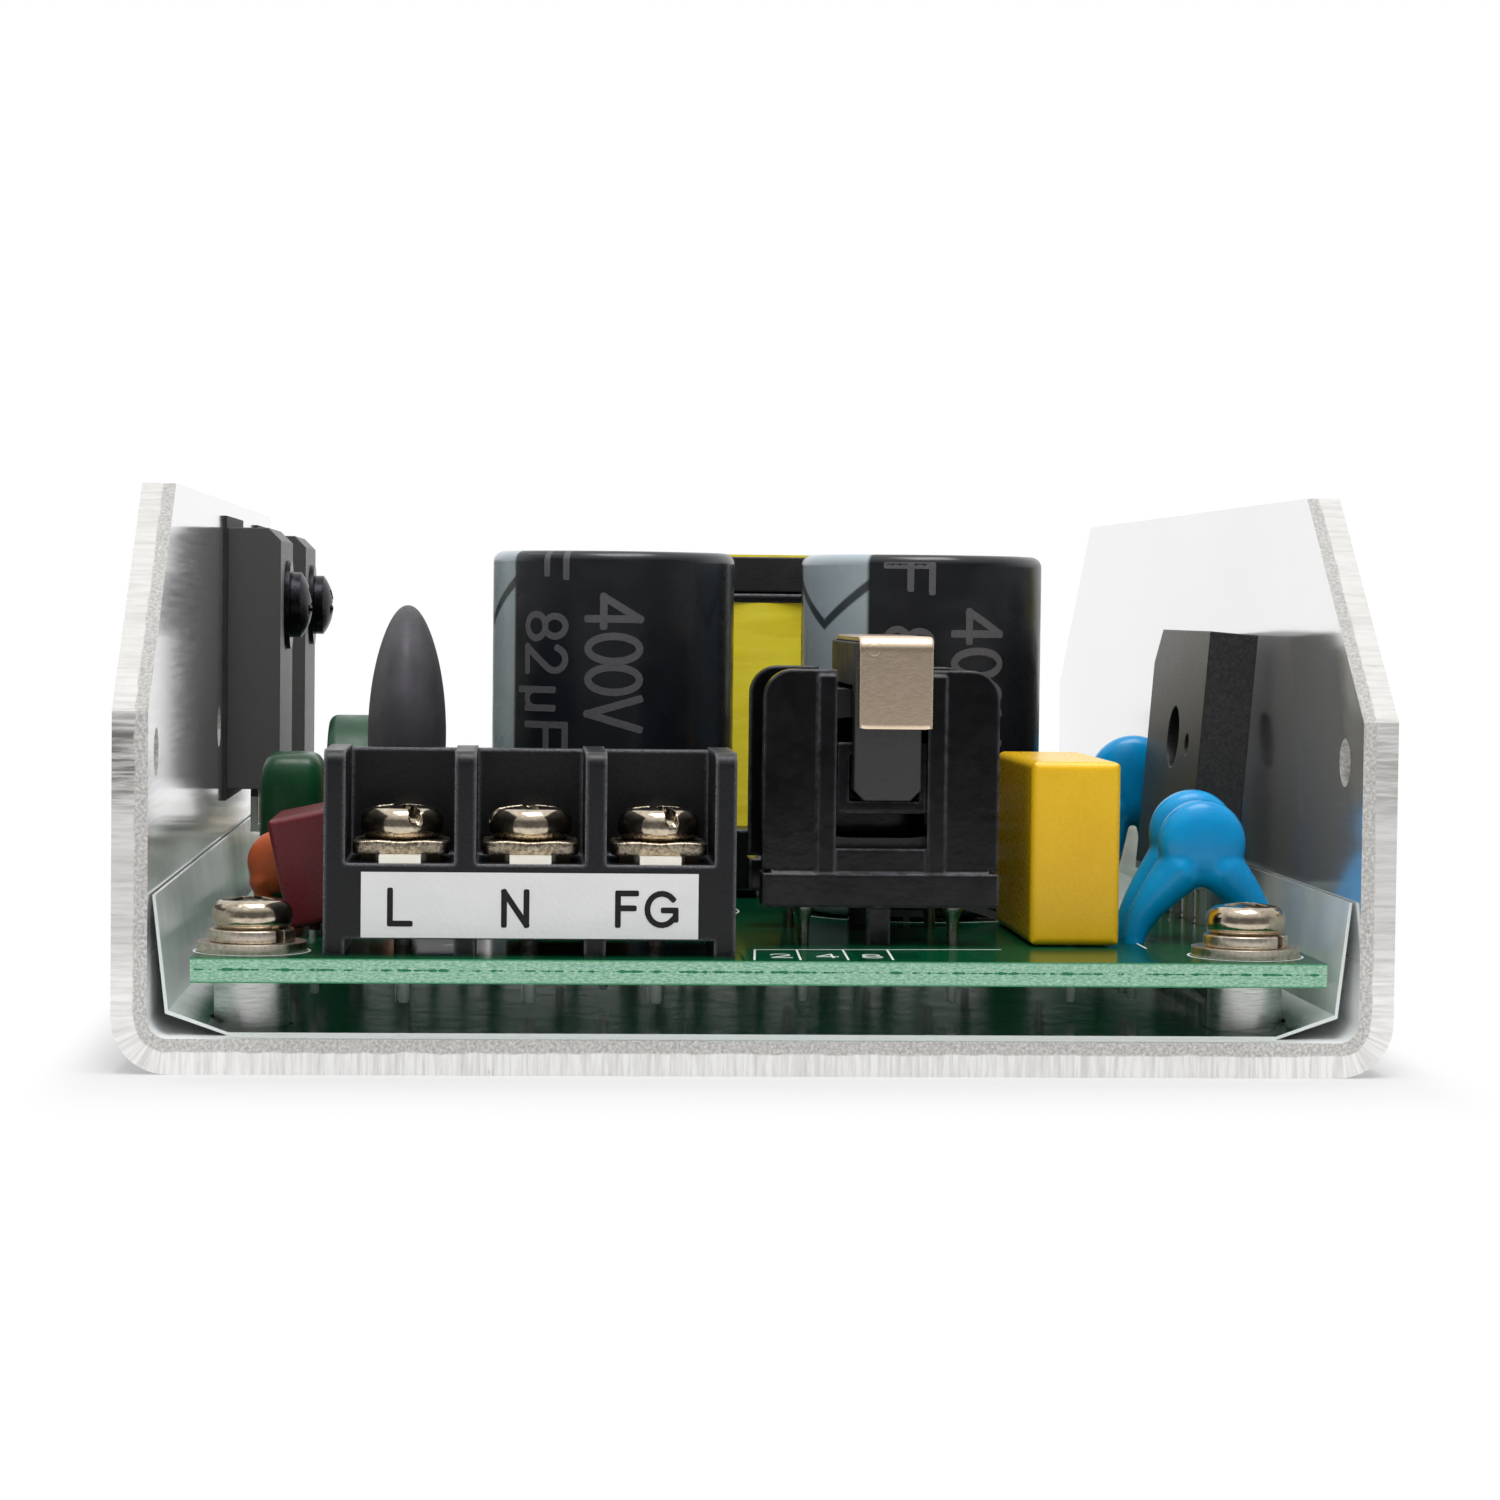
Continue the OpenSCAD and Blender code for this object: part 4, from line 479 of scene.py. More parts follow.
def pan_head(x, y, seat, radius, height, turn, slot):
    """Rim and crown as a superellipse in radius and height; near the cross the crown is pushed down."""
    angle = all_round(96)
    rim = angles(-42, 52, 16)
    rim_r = radius * np.cos(rim) ** 0.55
    rim_low = 0.36 - 0.36 * np.sin(rim) / np.sin(rim[0])
    rim_high = 0.36 + 0.54 * np.abs(np.sin(rim) / np.sin(rim[-1])) ** 0.75
    rim_z = height * np.where(rim < 0, rim_low, rim_high)
    crown_r = np.linspace(rim_r[-1], 0, 34)[1:]
    crown_z = height - (height - rim_z[-1]) * (crown_r / rim_r[-1]) ** 2
    r = np.concatenate([[0.0], rim_r, crown_r])[:, None]
    z = np.concatenate([[0.0], rim_z, crown_z])[:, None]
    one = r * np.cos(angle - turn)
    two = r * np.sin(angle - turn)
    arms = np.minimum(np.abs(one), np.abs(two))
    ends = np.maximum(np.abs(one), np.abs(two))
    dip = np.clip((0.42 - arms) / 0.12, 0, 1) * np.clip((0.62 * radius - ends) / 0.2, 0, 1) * 0.5 * height
    if slot:
        dip = np.maximum(dip, np.clip((0.36 - np.abs(two)) / 0.1, 0, 1) * 0.3 * height)
    dip = dip * (z > 0.55 * height)
    points = np.stack([x + r * np.cos(angle), y + r * np.sin(angle), seat + z - dip], axis=-1)
    return grid(points)


def shank(x, y, low, high):
    """Thread as a turned wave: radius 1.38 mm plus 0.08 times a sine of half a millimetre of pitch."""
    z = np.linspace(low, high, int((high - low) * 16))
    r = 1.38 + 0.08 * np.sin(2 * np.pi * z / 0.5)
    profile = np.column_stack([np.concatenate([[0], r, [0]]), np.concatenate([[low], z, [high]])])
    return turned(profile, (x, y, 0), sides=24)


board_spots = [(sx * 32.85, sy * 59.775) for sx in (-1, 1) for sy in (-1, 1)]
heads = [pan_head(x, y, 8.79, 2.65, 2.06, turn=0.5 + x * 0.02 + y * 0.01, slot=False)
         for x, y in board_spots]
shanks = [shank(x, y, 0.8, 8.9) for x, y in board_spots]
make("board_screw_set", {nickel: heads + shanks}, ["board_screws"])


# %% Terminal screws
def terminal_screws(name, node, turns, y):
    """One slotted head and thread for each cell of a terminal block, each turned by its own angle."""
    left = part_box(node)[0][0] * 1000
    spots = [left + HEAD_R + CELL_PITCH * i for i in range(len(turns))]
    tops = [pan_head(x, y, CLAMP_TOP, HEAD_R, 2.21, angle, slot=True) for x, angle in zip(spots, turns)]
    make(name, {nickel: tops + [shank(x, y, 9.45, 14.8) for x in spots]}, [node])


terminal_screws("input_screw_set", "input_screws", (1.95, 0.25, 1.88), SCREW_ROWS["input"])
terminal_screws("output_screw_set", "output_screws", (0.2, 0.8, 1.4, 2.0, 2.6), SCREW_ROWS["output"])

# %% [markdown]
# ## Spring washers and clamp plates
# Under each board screw sits a split spring washer: square wire wound once round, with a gap. Under each
# terminal screw sits a square pressed plate with two shallow ridges that grip the wire. Both are a small
# section carried round the screw, so one grid each is enough and no cutting is needed.


# %% Spring washers
def split_ring(x, y, middle, inner, outer, thick):
    """Squared-off section round the screw from one side of the gap to the other; its ends close flat."""
    angle = np.radians(np.concatenate([[-38], np.linspace(-38, 308, 80), [308]]))[:, None]
    around = all_round(24)
    size = np.concatenate([[0], np.ones(80), [0]])[:, None]
    r = (inner + outer) / 2 + size * (outer - inner) / 2 * soft(np.cos(around), 0.3)
    z = middle + size * thick / 2 * soft(np.sin(around), 0.3)
    return grid(np.stack([x + r * np.cos(angle), y + r * np.sin(angle), z], axis=-1))


rings = [split_ring(x, y, middle=8.365, inner=1.66, outer=2.8, thick=0.85) for x, y in board_spots]
make("spring_washer_set", {satin_nickel: rings}, ["spring_washers"])


# %% Clamp plates
def clamp_plate(x, y, low, high, half):
    """Square ring: a superellipse in plan, with round rims and two ridges as a cosine across the top."""
    angle = all_round(120)
    plan = half * (np.abs(np.cos(angle)) ** 12 + np.abs(np.sin(angle)) ** 12) ** (-1 / 12)
    bend = angles(-90, 90, 9)[:, None]
    out = np.where(bend < 0, 0.1, 0.16)
    rim = plan - out + out * np.cos(bend)
    rim_z = np.where(bend < 0, low + out, high - out) + out * np.sin(bend)
    inner = np.full((1, 120), 1.6)
    near = np.linspace(1, 0.55, 8)[1:, None] * (plan - out[-1])
    r = np.vstack([inner, rim, near, inner])
    z = np.vstack([np.full((1, 120), low), rim_z + 0 * plan, np.full((8, 120), high)])
    one = r * np.cos(angle)
    ridge = 0.04 * (1 + np.cos(2 * np.pi * one / half)) * (z > (low + high) / 2)
    return grid(np.stack([x + one, y + r * np.sin(angle), z - ridge], axis=-1))


CLAMP_HALF = 3.15
for block, y in SCREW_ROWS.items():
    clamp_low, clamp_high = [np.array(corner) * 1000 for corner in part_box(block + "_clamps")]
    spots = np.arange(clamp_low[0] + CLAMP_HALF, clamp_high[0], CELL_PITCH)
    plates = [clamp_plate(x, y, low=13.79, high=CLAMP_TOP, half=CLAMP_HALF) for x in spots]
    make(block + "_clamp_plates", {nickel_clamp: plates}, [block + "_clamps"])

# %% [markdown]
# ## Board
# The board is glass-fibre laminate under a glossy green solder mask. Its sawn edges show the pale fibres
# and, half way up, the dark broken line of the scored groove where it was snapped from its panel. Light
# comes through the laminate, so the underside is a brighter green than its shade would give.


# %% Solder mask and laminate edge
# heights of the two faces of the board
BOARD_LOW = 5.69
BOARD_TOP = 7.29


def masked_board(add):
    """Up and down faces get mask green over faint copper; other faces get fibres and a score line."""
    z = millimetres(add)[2]
    facing = face_way(add)
    flat = add("GREATER_THAN", add("ABSOLUTE", facing[2]), 0.7)
    copper = pattern(add, 9.0, (1, 1.6, 1), kind="Voronoi", Randomness=1.0)
    copper.node.distance = "CHEBYCHEV"
    copper = add("MapRange", copper, 0.4, 0.43)
    mask = add("Mix", copper, "#03472b", "#033a24")
    weave = pattern(add, 0.35, Detail=3.0)
    mask = add("Mix", add("MapRange", weave, 0.3, 0.7, 0.0, 0.2), mask, "#0b7a4c")
    under = add("LESS_THAN", facing[2], -0.5)
    mask = add("Mix", under, mask, "#35a06c")
    fibres = pattern(add, 0.11, (3, 3, 1), Detail=5.0, Roughness=0.8)
    pale = add("MapRange", fibres, 0.34, 0.66)
    sawn = add("Mix", pale, "#4c9874", "#bfdeca")
    score = apart(add, z, 6.55)
    dashes = pattern(add, 0.7, (1, 1, 4), Detail=3.0, Roughness=0.7)
    width = add("MapRange", dashes, 0.42, 0.64, 0.0, 0.11)
    score = add("LESS_THAN", score, width)
    sawn = add("Mix", score, sawn, "#2f7a55")
    rim = apart(add, z, (BOARD_LOW + BOARD_TOP) / 2)
    rim = add("MapRange", rim, 0.66, 0.76, 0.0, 0.85)
    sawn = add("Mix", rim, sawn, "#0f7a48")
    colour = add("Mix", flat, sawn, mask)
    gloss = add("MapRange", flat, 0.0, 1.0, 0.6, 0.16)
    through = add("MapRange", under, 0.0, 1.0, 0.0, 0.06)
    height = add("Mix", flat, fibres, copper)
    relief = bumps(add, height, 0.4, 0.04)
    return {"Base Color": colour, "Roughness": gloss, "Normal": relief, "Emission Strength": through,
            "IOR": 1.45, "Specular IOR Level": 0.15, "Emission Color": "#2fae74"}


dress(finish("solder_mask_on_glass_laminate", masked_board), "circuit_board")

# %% [markdown]
# ## Solder joints
# Wave solder leaves a shiny hollow-sided cone round every lead, with the cut lead tip in the middle. The
# cones of the solid are straight, so each is turned again from a hollow curve, at the places read from
# the solid's mesh.


# %% Solder cones
def joint_places(node):
    """Middle of each group of tip points that lie within 0.9 mm of each other."""
    mesh = solids[node].data
    points = np.empty(len(mesh.vertices) * 3)
    mesh.vertices.foreach_get("co", points)
    points = points.reshape(-1, 3) * 1000
    tips = points[points[:, 2] < points[:, 2].min() + 0.05, :2]
    places = []
    while len(tips):
        near = np.linalg.norm(tips - tips[0], axis=1) < 0.9
        group = tips[near]
        places.append(np.append((group.min(0) + group.max(0)) / 2, np.ptp(group[:, 0]) / 2))
        tips = tips[~near]
    return np.array(places)


fall = np.linspace(0, 1, 9)
cones = []
for px, py, tip in joint_places("solder_joints"):
    cone_r = np.append(tip + 0.02 + 0.8 * (1 - fall) ** 2.4, [tip, tip * 0.8, 0.0])
    cone_z = BOARD_LOW - np.append(0.75 * fall, [2.1, 2.28, 2.3])
    profile = np.vstack([[0, BOARD_LOW], np.column_stack([cone_r, cone_z])])
    cones.append(turned(profile, (px, py, 0), sides=16))
make("solder_cones", {solder_tin: cones}, ["solder_joints"])

# %% [markdown]
# ## Moulded plastics
# Terminal blocks are satin black thermoplastic with a fine spark-eroded skin and paler rubbed edges. The
# choke former is glossier. The bevel node compares a rounded normal with the true one, which finds the
# edges without any paint. One recipe with other numbers gives all the moulded parts.


# %% Moulded plastics
def moulded(add, chart, edge_chart, gloss, skin, edge, sink=0.0):
    """Plastic with a fine skin and broad sink marks; the edge tone shows where the two normals part."""
    tone = pattern(add, skin, Detail=4.0, Roughness=0.6)
    patch = add("MapRange", pattern(add, 3.5, Detail=2.0), 0.3, 0.7, *gloss)
    rounded = add("Bevel", {"Radius": edge / 1000}, samples=6)
    true = add("NewGeometry", out="Normal")
    match = add("VectorMath", rounded, true, operation="DOT_PRODUCT")
    worn = add("MapRange", match, 0.97, 0.8)
    worn = add("MULTIPLY", worn, add("MapRange", tone, 0.35, 0.6, 0.35, 1.0))
    base = add("Mix", add("MapRange", tone, 0.35, 0.65, 0.0, 0.03), chart, edge_chart)
    colour = add("Mix", worn, base, edge_chart)
    wave = add("MULTIPLY_ADD", pattern(add, 5.0, Detail=1.0), sink, tone)
    relief = add("Bump", {"Height": wave, "Strength": 0.35, "Distance": 0.00003, "Normal": rounded})
    return {"Base Color": colour, "Roughness": patch, "Normal": relief, "IOR": 1.43}


block_plastic = finish("moulded_thermoplastic_satin_black", moulded, "#090b0e", "#85858b", (0.3, 0.4),
                       0.14, 0.5)
gloss_plastic = finish("moulded_thermoplastic_gloss_black", moulded, "#030305", "#62626a", (0.1, 0.2),
                       0.8, 0.4, sink=5.0)
fuse_plastic = finish("moulded_brown_case", moulded, "#3a1c12", "#6a3a28", (0.3, 0.4), 0.3, 0.3)
dress(block_plastic, "input_block", "output_block", "transformer_bobbin")
dress(gloss_plastic, "choke_bobbin")
dress(fuse_plastic, "fuse")

# %% [markdown]
# ## Label with the terminal marks
# A white film label carries the usual marks of a mains input. Letters could be a font, but a few pen
# strokes with squared-off ends are closer to a printed label, and the same strokes can be wrapped round a
# capacitor later.


# %% Matt label film
def label_film(add):
    """Off-white with a soft mottle and a fine grain."""
    mottle = pattern(add, 2.4, (2, 1, 1), Detail=3.0)
    colour = add("Mix", mottle, "#d9d9da", "#e8e8e8")
    relief = bumps(add, pattern(add, 0.3, Detail=2.0), 0.5, 0.05)
    return {"Base Color": colour, "Normal": relief, "Roughness": 0.55}


dress(finish("matt_label_film", label_film), "input_label")


# %% Pen strokes
def arc(cx, cy, rx, ry, start, stop, steps=18):
    """Points of an ellipse between two angles in degrees."""
    angle = angles(start, stop, steps)
    return np.column_stack([cx + rx * np.cos(angle), cy + ry * np.sin(angle)])


PEN = {
    "L": [[(0, 1), (0, 0)], [(0, 0), (0.6, 0)]],
    "N": [[(0, 0), (0, 1)], [(0, 1), (0.68, 0)], [(0.68, 0), (0.68, 1)]],
    "F": [[(0, 0), (0, 1)], [(0, 1), (0.57, 1)], [(0, 0.53), (0.5, 0.53)]],
    "G": [arc(0.46, 0.5, 0.46, 0.5, 40, 322), [(0.9, 0.47), (0.52, 0.47)], [(0.9, 0.47), (0.9, 0.18)]],
    "4": [[(0.42, 0), (0.42, 1)], [(0.42, 1), (0, 0.3)], [(0, 0.3), (0.56, 0.3)]],
    "0": [arc(0.24, 0.5, 0.24, 0.5, 0, 360, 28)],
    "V": [[(0, 1), (0.29, 0)], [(0.29, 0), (0.58, 1)]],
    "8": [arc(0.26, 0.74, 0.22, 0.26, 0, 360, 24), arc(0.26, 0.25, 0.26, 0.25, 0, 360, 24)],
    "2": [arc(0.26, 0.74, 0.25, 0.26, 165, -35), [(0.46, 0.58), (0, 0)], [(0, 0), (0.52, 0)]],
    "u": [[(0, 0.7), (0, -0.2)], arc(0.2, 0.2, 0.2, 0.2, 180, 360), [(0.4, 0.7), (0.4, 0)]],
}


def stroke(line, width, place, lift=0.02):
    """Flat band along a line with squared-off ends; place turns flat coordinates and lift into space."""
    line = np.asarray(line, float)
    span = np.concatenate([[0], np.cumsum(np.linalg.norm(np.diff(line, axis=0), axis=1))])
    cap = width / 2
    bend = angles(0, 90, 6)
    square = soft(np.sin(bend[:-1]), 0.35)
    inner = np.linspace(0, span[-1], max(3, int(span[-1] / 0.25)))
    run = np.concatenate([-cap * np.cos(bend[:-1]), inner, span[-1] + cap * np.cos(bend[:-1])[::-1]])
    half = cap * np.concatenate([square, np.ones(len(inner)), square[::-1]])
    along, middle = [np.stack([np.interp(steps, span, line[:, k]) for k in (0, 1)], axis=-1)
                     for steps in (run, inner)]
    heading = unit(np.gradient(middle, axis=0))
    heading = np.vstack([np.repeat(heading[:1], 5, 0), heading, np.repeat(heading[-1:], 5, 0)])
    past_end = np.minimum(run, 0) + np.maximum(run - span[-1], 0)
    along = along + heading * past_end[:, None]
    beside = np.column_stack([-heading[:, 1], heading[:, 0]])
    offset = np.array([-1.0, -1.0, 1.0, 1.0]) * half[:, None]
    flat = along[:, None] + beside[:, None] * offset[..., None]
    heights = np.broadcast_to([0.0, lift, lift, 0.0], offset.shape)
    return grid(place(flat[..., 0], flat[..., 1], heights))


def write(text, left, base, size, width, place, gaps):
    """Strokes of each letter, scaled to the letter height and set off by its own gap."""
    shapes = []
    for letter, gap in zip(text, gaps):
        left = left + gap
        for line in PEN[letter]:
            lift = 0.02 + 0.004 * (len(shapes) % 4)
            shapes.append(stroke(np.asarray(line) * size + [left, base], width, place, lift))
    return shapes


# %% Ink and terminal marks
def ink(add, chart, thin_chart, gloss):
    """Printing ink: a full tone, broken by a thinner one where the roller left less."""
    tone = pattern(add, 0.25, Detail=3.0)
    colour = add("Mix", add("MapRange", tone, 0.4, 0.7, 0.0, 0.5), chart, thin_chart)
    return {"Base Color": colour, "Roughness": gloss}


LABEL_FRONT = -63.12


def on_label(u, v, lift):
    """Flat coordinates are X and Z on the front of the label."""
    return np.stack([u, LABEL_FRONT - lift, v], axis=-1)


marks = []
for letters, left, base, size, gaps in (("L", -23.77, 9.41, 2.14, [0]), ("N", -16.41, 9.37, 2.13, [0]),
                                        ("FG", -9.03, 9.4, 2.06, [0, 1.9])):
    marks += write(letters, left, base, size, 0.38, on_label, gaps)
make("terminal_marks", {finish("black_label_ink", ink, "#060606", "#1e1e20", 0.7): marks})

# %% [markdown]
# ## Choke
# Two E-shaped ferrite halves are held round the former by a spring-steel clip. The clip is a strip bent
# to a U, so its section is carried along a path with round bends. The coils are wrapped in black tape: a
# squared-off circle whose radius falls a little across every lap. The pins widen to a small bell where
# they enter the former.


# %% Ferrite and spring steel
def ferrite_block(add):
    """Dark grey ceramic with fine pits and ground faces."""
    grain = pattern(add, 0.25, Detail=5.0, Roughness=0.7)
    patch = pattern(add, 2.5, Detail=2.0)
    colour = add("Mix", grain, "#0e0e0f", "#252527")
    gloss = add("MapRange", patch, 0.3, 0.7, 0.38, 0.55)
    relief = bumps(add, grain, 0.5, 0.06, 0.25)
    return {"Base Color": colour, "Roughness": gloss, "Normal": relief, "IOR": 1.8}


def spring_clip(add):
    """Warm rolled steel with a fine grain across the strip and one small round stamp."""
    place = millimetres(add)
    grain = pattern(add, 0.1, (6, 1, 1), Detail=4.0)
    colour = add("Mix", grain, "#f2dabf", "#f9e3c9")
    spot = add("CombineXYZ", place[0], 0.0, place[2])
    stamp = add("VectorMath", spot, (8.23, 0.0, 27.36), operation="DISTANCE")
    stamp = apart(add, stamp, 0.45)
    stamp = add("MapRange", stamp, 0.04, 0.1, 0.2, 1.0)
    height = add("MULTIPLY_ADD", grain, 0.02, stamp)
    relief = bumps(add, height, 0.15, 0.04)
    gloss = add("MapRange", grain, 0.3, 0.7, 0.24, 0.3)
    return {"Base Color": colour, "Roughness": gloss, "Normal": relief, "Metallic": 1.0}


ferrite = finish("sintered_ferrite", ferrite_block)
dress(ferrite, "choke_core_front", "choke_core_rear", "transformer_core_upper", "transformer_core_lower")


# %% Clip as a strip along a path
def bent_strip(path, normal, middle, width, thick):
    """Squared-off ellipse as section, carried along a path in the YZ plane; the ends close to a point."""
    angle = all_round(28)
    across = width / 2 * soft(np.cos(angle), 0.22)
    out = thick / 2 * soft(np.sin(angle), 0.45)
    size = np.concatenate([[0.0, 0.94, 1.0], np.ones(len(path) - 6), [1.0, 0.94, 0.0]])[:, None]
    y = path[:, :1] + normal[:, :1] * out * size
    z = path[:, 1:] + normal[:, 1:] * out * size
    return grid(np.stack([middle + across * size, y, z], axis=-1))


def pair(one, two):
    """Rows of two coordinates; a single number is repeated."""
    return np.column_stack(np.broadcast_arrays(one, two))


clip_low, clip_high = [np.array(corner) * 1000 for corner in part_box("choke_clip")]
strip = 0.45
bend_r = 0.75
front, back = clip_low[1] + strip / 2, clip_high[1] - strip / 2
top, foot = clip_high[2] - strip / 2, clip_low[2]
quarter = angles(0, 90, 10)
in_r, up_r = bend_r * np.cos(quarter), bend_r * np.sin(quarter)
up_z = np.concatenate([[foot, foot, foot + 0.04], np.linspace(foot + 0.3, top - bend_r - 0.2, 6)])
clip_path = np.vstack([
    pair(front, up_z),
    pair(front + bend_r - in_r, top - bend_r + up_r),
    pair(np.linspace(front + bend_r + 0.5, back - bend_r - 0.5, 12), top),
    pair(back - bend_r + up_r, top - bend_r + in_r),
    pair(back, up_z[::-1]),
])
clip_normal = np.vstack([
    pair(-1.0, 0 * up_z),
    pair(-np.cos(quarter), np.sin(quarter)),
    pair(np.zeros(12), 1.0),
    pair(np.sin(quarter), np.cos(quarter)),
    pair(1.0, 0 * up_z),
])
clip_middle = (clip_low[0] + clip_high[0]) / 2
clip_shape = bent_strip(clip_path, clip_normal, clip_middle, clip_high[0] - clip_low[0], strip)
make("choke_spring_clip", {finish("rolled_spring_steel", spring_clip): [clip_shape]},
     ["choke_clip"])


# %% Pins with a bell under the former
# height where leads end, just inside the underside of the board
LEAD_FOOT = 5.7
bell = [(0, LEAD_FOOT), (0.4, LEAD_FOOT), (0.4, 8.5), (0.43, 8.85), (0.53, 9.25), (0.7, 9.65),
        (0.74, 9.85), (0.7, 9.93), (0, 9.93)]
pins = [turned(bell, (px, py, 0), sides=24) for px, py in joint_places("choke_pins")[:, :2]]
make("choke_pin_set", {dull_tin: pins}, ["choke_pins"])


# %% Polyester tape
def polyester_tape(add, stretch, dark, light, layer):
    """Glossy film with stretch lines, darker where lower layers end, with sides that glow a little."""
    lines = pattern(add, 0.5, stretch, Detail=4.0)
    steps = pattern(add, 3.0, stretch)
    colour = add("Mix", lines, dark, light)
    below = add("MapRange", steps, 0.52, 0.6, 0.0, 0.35)
    colour = add("Mix", below, colour, layer)
    gloss = add("MapRange", lines, 0.3, 0.7, 0.18, 0.32)
    relief = bumps(add, steps, 0.35, 0.1)
    through = add("MapRange", face_way(add)[2], 0.0, 0.5, 0.14, 0.0)
    return {"Base Color": colour, "Roughness": gloss, "Normal": relief, "Emission Color": colour,
            "Emission Strength": through, "IOR": 1.6}


black_tape = finish("black_polyester_tape", polyester_tape, (1, 9, 9), "#050506", "#0a0a0b", "#030304")


# %% Taped coils
def taped_coil(name, node):
    """Saw wave of 3.5 tape laps of 0.07 mm round a squared-off circle: radius over a sixth-power sum."""
    low, high = [np.array(corner) * 1000 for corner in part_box(node)]
    share = np.linspace(0, 1, 71)
    laps = (high[0] - low[0]) / 2 - 0.07 * ((share * 3.5) % 1.0)
    length = low[1] + share * (high[1] - low[1])
    r = np.concatenate([[4.1], laps, [4.1]])[:, None]
    y = np.concatenate([length[:1], length, length[-1:]])[:, None]
    angle = all_round(96)
    plan = r * (np.cos(angle) ** 6 + np.sin(angle) ** 6) ** (-1 / 6)
    middle = (low + high) / 2
    print(name, "half width", round(laps[0], 2))
    points = [middle[0] + plan * np.cos(angle), y + 0 * plan, middle[2] + plan * np.sin(angle)]
    make(name, {black_tape: [grid(np.stack(points, axis=-1))]}, [node])


for end in ("front", "rear"):
    taped_coil("choke_coil_" + end, "choke_winding_" + end)

# %% [markdown]
# ## Two wound rings
# A ring core is wound by passing the wire through the hole again and again. So the wire is one long path:
# it walks round the section of the ring once for every turn while it creeps along the ring.


# %% Enamelled copper
def enamelled(add):
    """Copper in two close tones under clear glossy enamel."""
    tone = pattern(add, 0.9, Detail=3.0)
    colour = add("Mix", tone, "#9a4a22", "#d08045")
    gloss = add("MapRange", tone, 0.3, 0.7, 0.2, 0.32)
    return {"Base Color": colour, "Roughness": gloss, "Metallic": 1.0, "Coat Weight": 0.6,
            "Coat Roughness": 0.1}


copper = finish("enamelled_copper", enamelled)


# %% Coated cores
def dipped(add, chart, light_chart, gloss, skin=0.9, depth=0.05):
    """Dipped or sprayed coating: two close tones, soft gloss changes and orange peel."""
    tone = pattern(add, 2.6, Detail=2.0)
    peel = pattern(add, skin, Detail=2.0)
    colour = add("Mix", add("MapRange", tone, 0.3, 0.7), chart, light_chart)
    shine = add("MapRange", peel, 0.3, 0.7, *gloss)
    relief = bumps(add, peel, 0.3, depth)
    return {"Base Color": colour, "Roughness": shine, "Normal": relief, "IOR": 1.42}


dress(finish("green_ring_coating", dipped, "#0b3a22", "#12492c", (0.3, 0.42)), "ring_core")
dress(finish("yellow_ring_coating", dipped, "#b79a26", "#cdb23a", (0.35, 0.5)), "output_choke_core")


# %% Wound wire
def ring_wire(turns, span, ring, section, middle_angle, gauge, centre, axis):
    """Squared-off ellipse round the section once for each turn, while the ring angle grows evenly."""
    t = np.linspace(0, 2 * np.pi * turns, turns * 40)
    around = middle_angle + span * (t / t[-1] - 0.5)
    radial = ring + section[0] * soft(np.cos(t), 0.4)
    axial = section[1] * soft(np.sin(t), 0.4)
    flat = np.stack([radial * np.cos(around), radial * np.sin(around), axial], axis=-1)
    beside = np.stack([-np.sin(around), np.cos(around), 0 * around], axis=-1)
    if axis == 0:
        flat = flat[:, [2, 0, 1]]
        beside = beside[:, [2, 0, 1]]
    return wire(flat + np.asarray(centre), gauge / 2, 8, beside)


# solid, middle, axis, turns, degrees wound, degrees at the middle of the winding, ring radius,
# section, gauge, distance of the leads from the middle, and their top
RINGS = {
    "ring_choke_wire": ("ring_winding", (-27.83, -16.675, 15.19), 0, 9, 200, -90, 4.7, (2.0, 2.6), 0.7,
                        4.3, 9.9),
    "output_choke_wire": ("output_choke_winding", (12.8, 40.73, 11.79), 2, 14, 310, 90, 6.1, (2.4, 3.7),
                          0.9, 8.45, 10.5),
}
for name, (node, middle, axis, turns, span, aim, ring, section, gauge, beside, top) in RINGS.items():
    coils = [ring_wire(turns, np.radians(span), ring, section, np.radians(aim), gauge, middle, axis)]
    for side in (-1, 1):
        lead = [(middle[0], middle[1] + side * beside, z) for z in (LEAD_FOOT, 7.5, top)]
        coils.append(wire(lead, 0.4, 10, (1, 0, 0)))
    make(name, {copper: coils}, [node])

# %% [markdown]
# ## Boxed and dipped capacitors
# The yellow and the red capacitor are glossy moulded boxes. The small green and orange ones and the blue
# discs are dipped in resin, which flows into round shoulders and runs down the leads. A squared-off
# ellipsoid gives the dipped box. The discs and their legs are separate grids, melted into one skin by a
# remesh and smoothed.


# %% Boxes and their leads
def boxed_case(add, dark, light, lead_top, shine):
    """Glossy moulding with two close tones; below lead_top the same solid is a tinned lead."""
    z = millimetres(add)[2]
    tone = pattern(add, 4.0, Detail=3.0)
    colour = add("Mix", tone, dark, light)
    lead = add("LESS_THAN", z, lead_top)
    colour = add("Mix", lead, colour, "#d9d8d5")
    fine = pattern(add, 0.3, Detail=3.0)
    gloss = add("MapRange", fine, 0.3, 0.7, *shine)
    relief = bumps(add, fine, 0.05, 0.03, 0.3)
    return {"Base Color": colour, "Roughness": gloss, "Metallic": lead, "Normal": relief, "IOR": 1.5}


dress(finish("moulded_yellow_case", boxed_case, "#eab50b", "#f7c918", 7.38, (0.24, 0.32)), "x_capacitor")
dress(finish("moulded_red_case", boxed_case, "#5f161f", "#741f2a", 7.75, (0.26, 0.36)), "red_capacitor")


